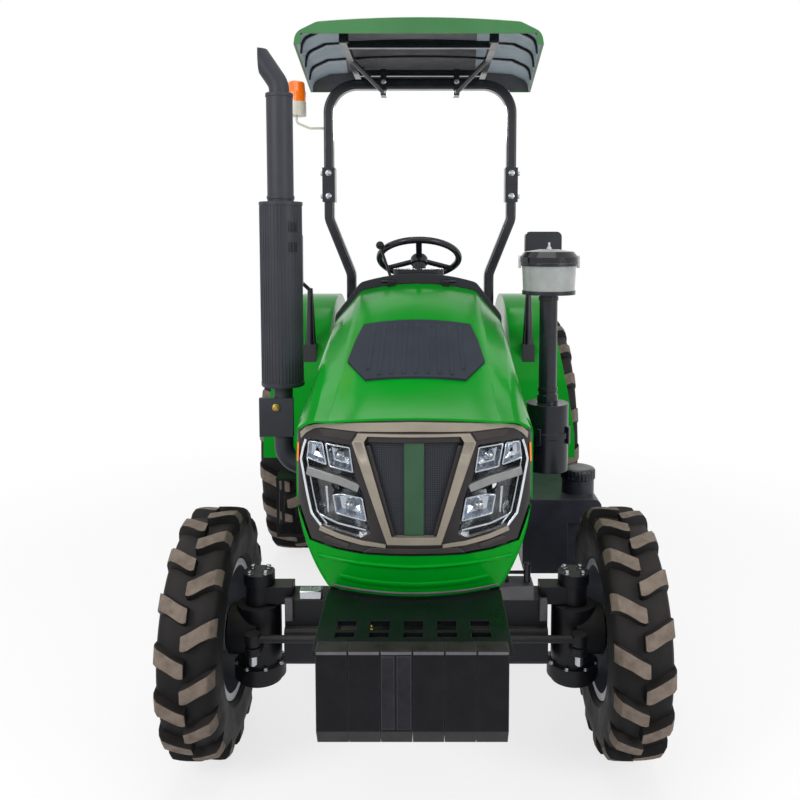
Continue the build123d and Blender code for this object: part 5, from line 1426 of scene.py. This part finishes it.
@dataclass
class Stage:
    """Pale floor, white surroundings, soft lamps and the camera."""

    camera_at: Point = (0.031, FRONT_AXLE - 2.6, 1.64)
    pitch: float = 4.6
    lens: float = 37.5
    shift_x: float = -0.0325
    shift_y: float = -0.121
    ambient: float = 0.55
    reach: float = 30.0
    floor_white: float = 0.93
    shade_from: float = 1.6
    shade_to: float = 3.6
    shade_white: float = 0.74

    def seen(self, tree: bpy.types.NodeTree) -> bpy.types.NodeSocket:
        """Adds the test for rays that see the surroundings directly, in gloss or through glass.

        Args:
            tree: node tree that gets the test.

        Returns:
            One for such a ray, and zero for light on the object.
        """
        path = add_node(tree, "ShaderNodeLightPath")
        first = add_node(tree, "ShaderNodeMath", {"operation": "MAXIMUM"},
                         {0: path.outputs["Is Camera Ray"], 1: path.outputs["Is Glossy Ray"]})
        return add_node(tree, "ShaderNodeMath", {"operation": "MAXIMUM"},
                        {0: first.outputs[0], 1: path.outputs["Is Transmission Ray"]}).outputs[0]

    def world(self) -> None:
        """Makes white surroundings that give only plain light."""
        world = bpy.data.worlds.new("studio")
        bpy.context.scene.world = world
        world.use_nodes = True
        tree = world.node_tree
        tree.nodes.clear()
        strength = add_node(tree, "ShaderNodeMapRange", inputs={0: self.seen(tree), 3: self.ambient, 4: 1.0})
        light = add_node(tree, "ShaderNodeBackground",
                         inputs={"Color": (1, 1, 1, 1), "Strength": strength.outputs[0]})
        add_node(tree, "ShaderNodeOutputWorld", inputs={"Surface": light.outputs[0]})

    def floor(self) -> None:
        """Lays a pale floor that keeps the tractor's shadow."""
        mesh = bpy.data.meshes.new("studio_floor")
        reach = self.reach
        corners = [(-reach, -reach, 0), (reach, -reach, 0), (reach, reach, 0), (-reach, reach, 0)]
        mesh.from_pydata(corners, [], [(0, 1, 2, 3)])
        floor = bpy.data.objects.new("studio_floor", mesh)
        bpy.context.scene.collection.objects.link(floor)
        material = bpy.data.materials.new("matt_painted_floor_white")
        material.use_nodes = True
        tree = material.node_tree
        tree.nodes.clear()
        place = add_node(tree, "ShaderNodeTexCoord").outputs["Object"]
        away = add_node(tree, "ShaderNodeVectorMath", {"operation": "LENGTH"}, {0: place}).outputs["Value"]
        white = add_node(tree, "ShaderNodeMapRange", {"interpolation_type": "SMOOTHSTEP"},
                         {0: away, 1: self.shade_from, 2: self.shade_to, 3: self.shade_white, 4: 1.0})
        share = add_node(tree, "ShaderNodeMath", {"operation": "MULTIPLY"},
                         {0: self.seen(tree), 1: white.outputs[0]})
        paint = add_node(tree, "ShaderNodeBsdfDiffuse", inputs={"Color": (*[self.floor_white] * 3, 1)})
        glow = add_node(tree, "ShaderNodeEmission", inputs={"Color": (1, 1, 1, 1), "Strength": 1.0})
        both = add_node(tree, "ShaderNodeMixShader",
                        inputs={0: share.outputs[0], 1: paint.outputs[0], 2: glow.outputs[0]})
        add_node(tree, "ShaderNodeOutputMaterial", inputs={"Surface": both.outputs[0]})
        mesh.materials.append(material)

    def lamp(self, name: str, at: Point, aim: Point, size: float, power: float) -> None:
        """Hangs one soft lamp.

        Args:
            name: the lamp's name.
            at: where it hangs.
            aim: what it points at.
            size: side of its square face.
            power: its power in watts.
        """
        light = bpy.data.lights.new(name, "AREA")
        light.shape = "SQUARE"
        light.size = size
        light.energy = power
        lamp = bpy.data.objects.new(name, light)
        lamp.location = at
        lamp.rotation_euler = (Vector(aim) - Vector(at)).to_track_quat("-Z", "Y").to_euler()
        bpy.context.scene.collection.objects.link(lamp)

    def build(self) -> None:
        """Builds the stage and sets the camera."""
        scene = bpy.context.scene
        scene.view_settings.view_transform = "Standard"
        self.world()
        self.floor()
        self.lamp("overhead_softbox", (0, -1.2, 5.2), (0, -0.4, 0.8), size=3.0, power=50)
        self.lamp("key_softbox", (-3.4, -4.2, 3.4), (0, -0.6, 0.9), size=2.0, power=130)
        self.lamp("fill_softbox", (3.6, -3.8, 2.6), (0, -0.6, 0.9), size=2.0, power=90)
        self.lamp("back_softbox", (0, 3.4, 6.4), (0, 0.6, 1.2), size=2.5, power=70)
        self.lamp("rear_window", (0, 6.0, 3.0), (0, -0.5, 1.4), size=0.5, power=12)
        camera = bpy.data.cameras.new("photo_view")
        camera.lens = self.lens
        camera.sensor_width = 36.0
        camera.shift_x = self.shift_x
        camera.shift_y = self.shift_y
        view = bpy.data.objects.new("photo_view", camera)
        view.location = self.camera_at
        view.rotation_euler = (math.radians(90 - self.pitch), 0, 0)
        scene.collection.objects.link(view)
        scene.camera = view


def dress_solids() -> None:
    """Gives every solid its finish, also one that a piece stands for."""
    for finish, nodes in NODE_FINISHES.items():
        for node in nodes:
            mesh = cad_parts[node].data
            mesh.materials.clear()
            mesh.materials.append(finish.material())
            LOG.info("%s dressed with %s", node, finish.name)


def main() -> None:
    """Sets up the stage, dresses the solids and builds all sub-assemblies in order."""
    logging.basicConfig(level=logging.INFO, format="%(name)s: %(message)s")
    Stage().build()
    dress_solids()
    for part in (Wheels, Nose, Hood, Exhaust, Intake, Canopy, Beacon, Axle, Weights, Tank, Seat, Cab):
        part().build()


if __name__ == "__main__":
    main()
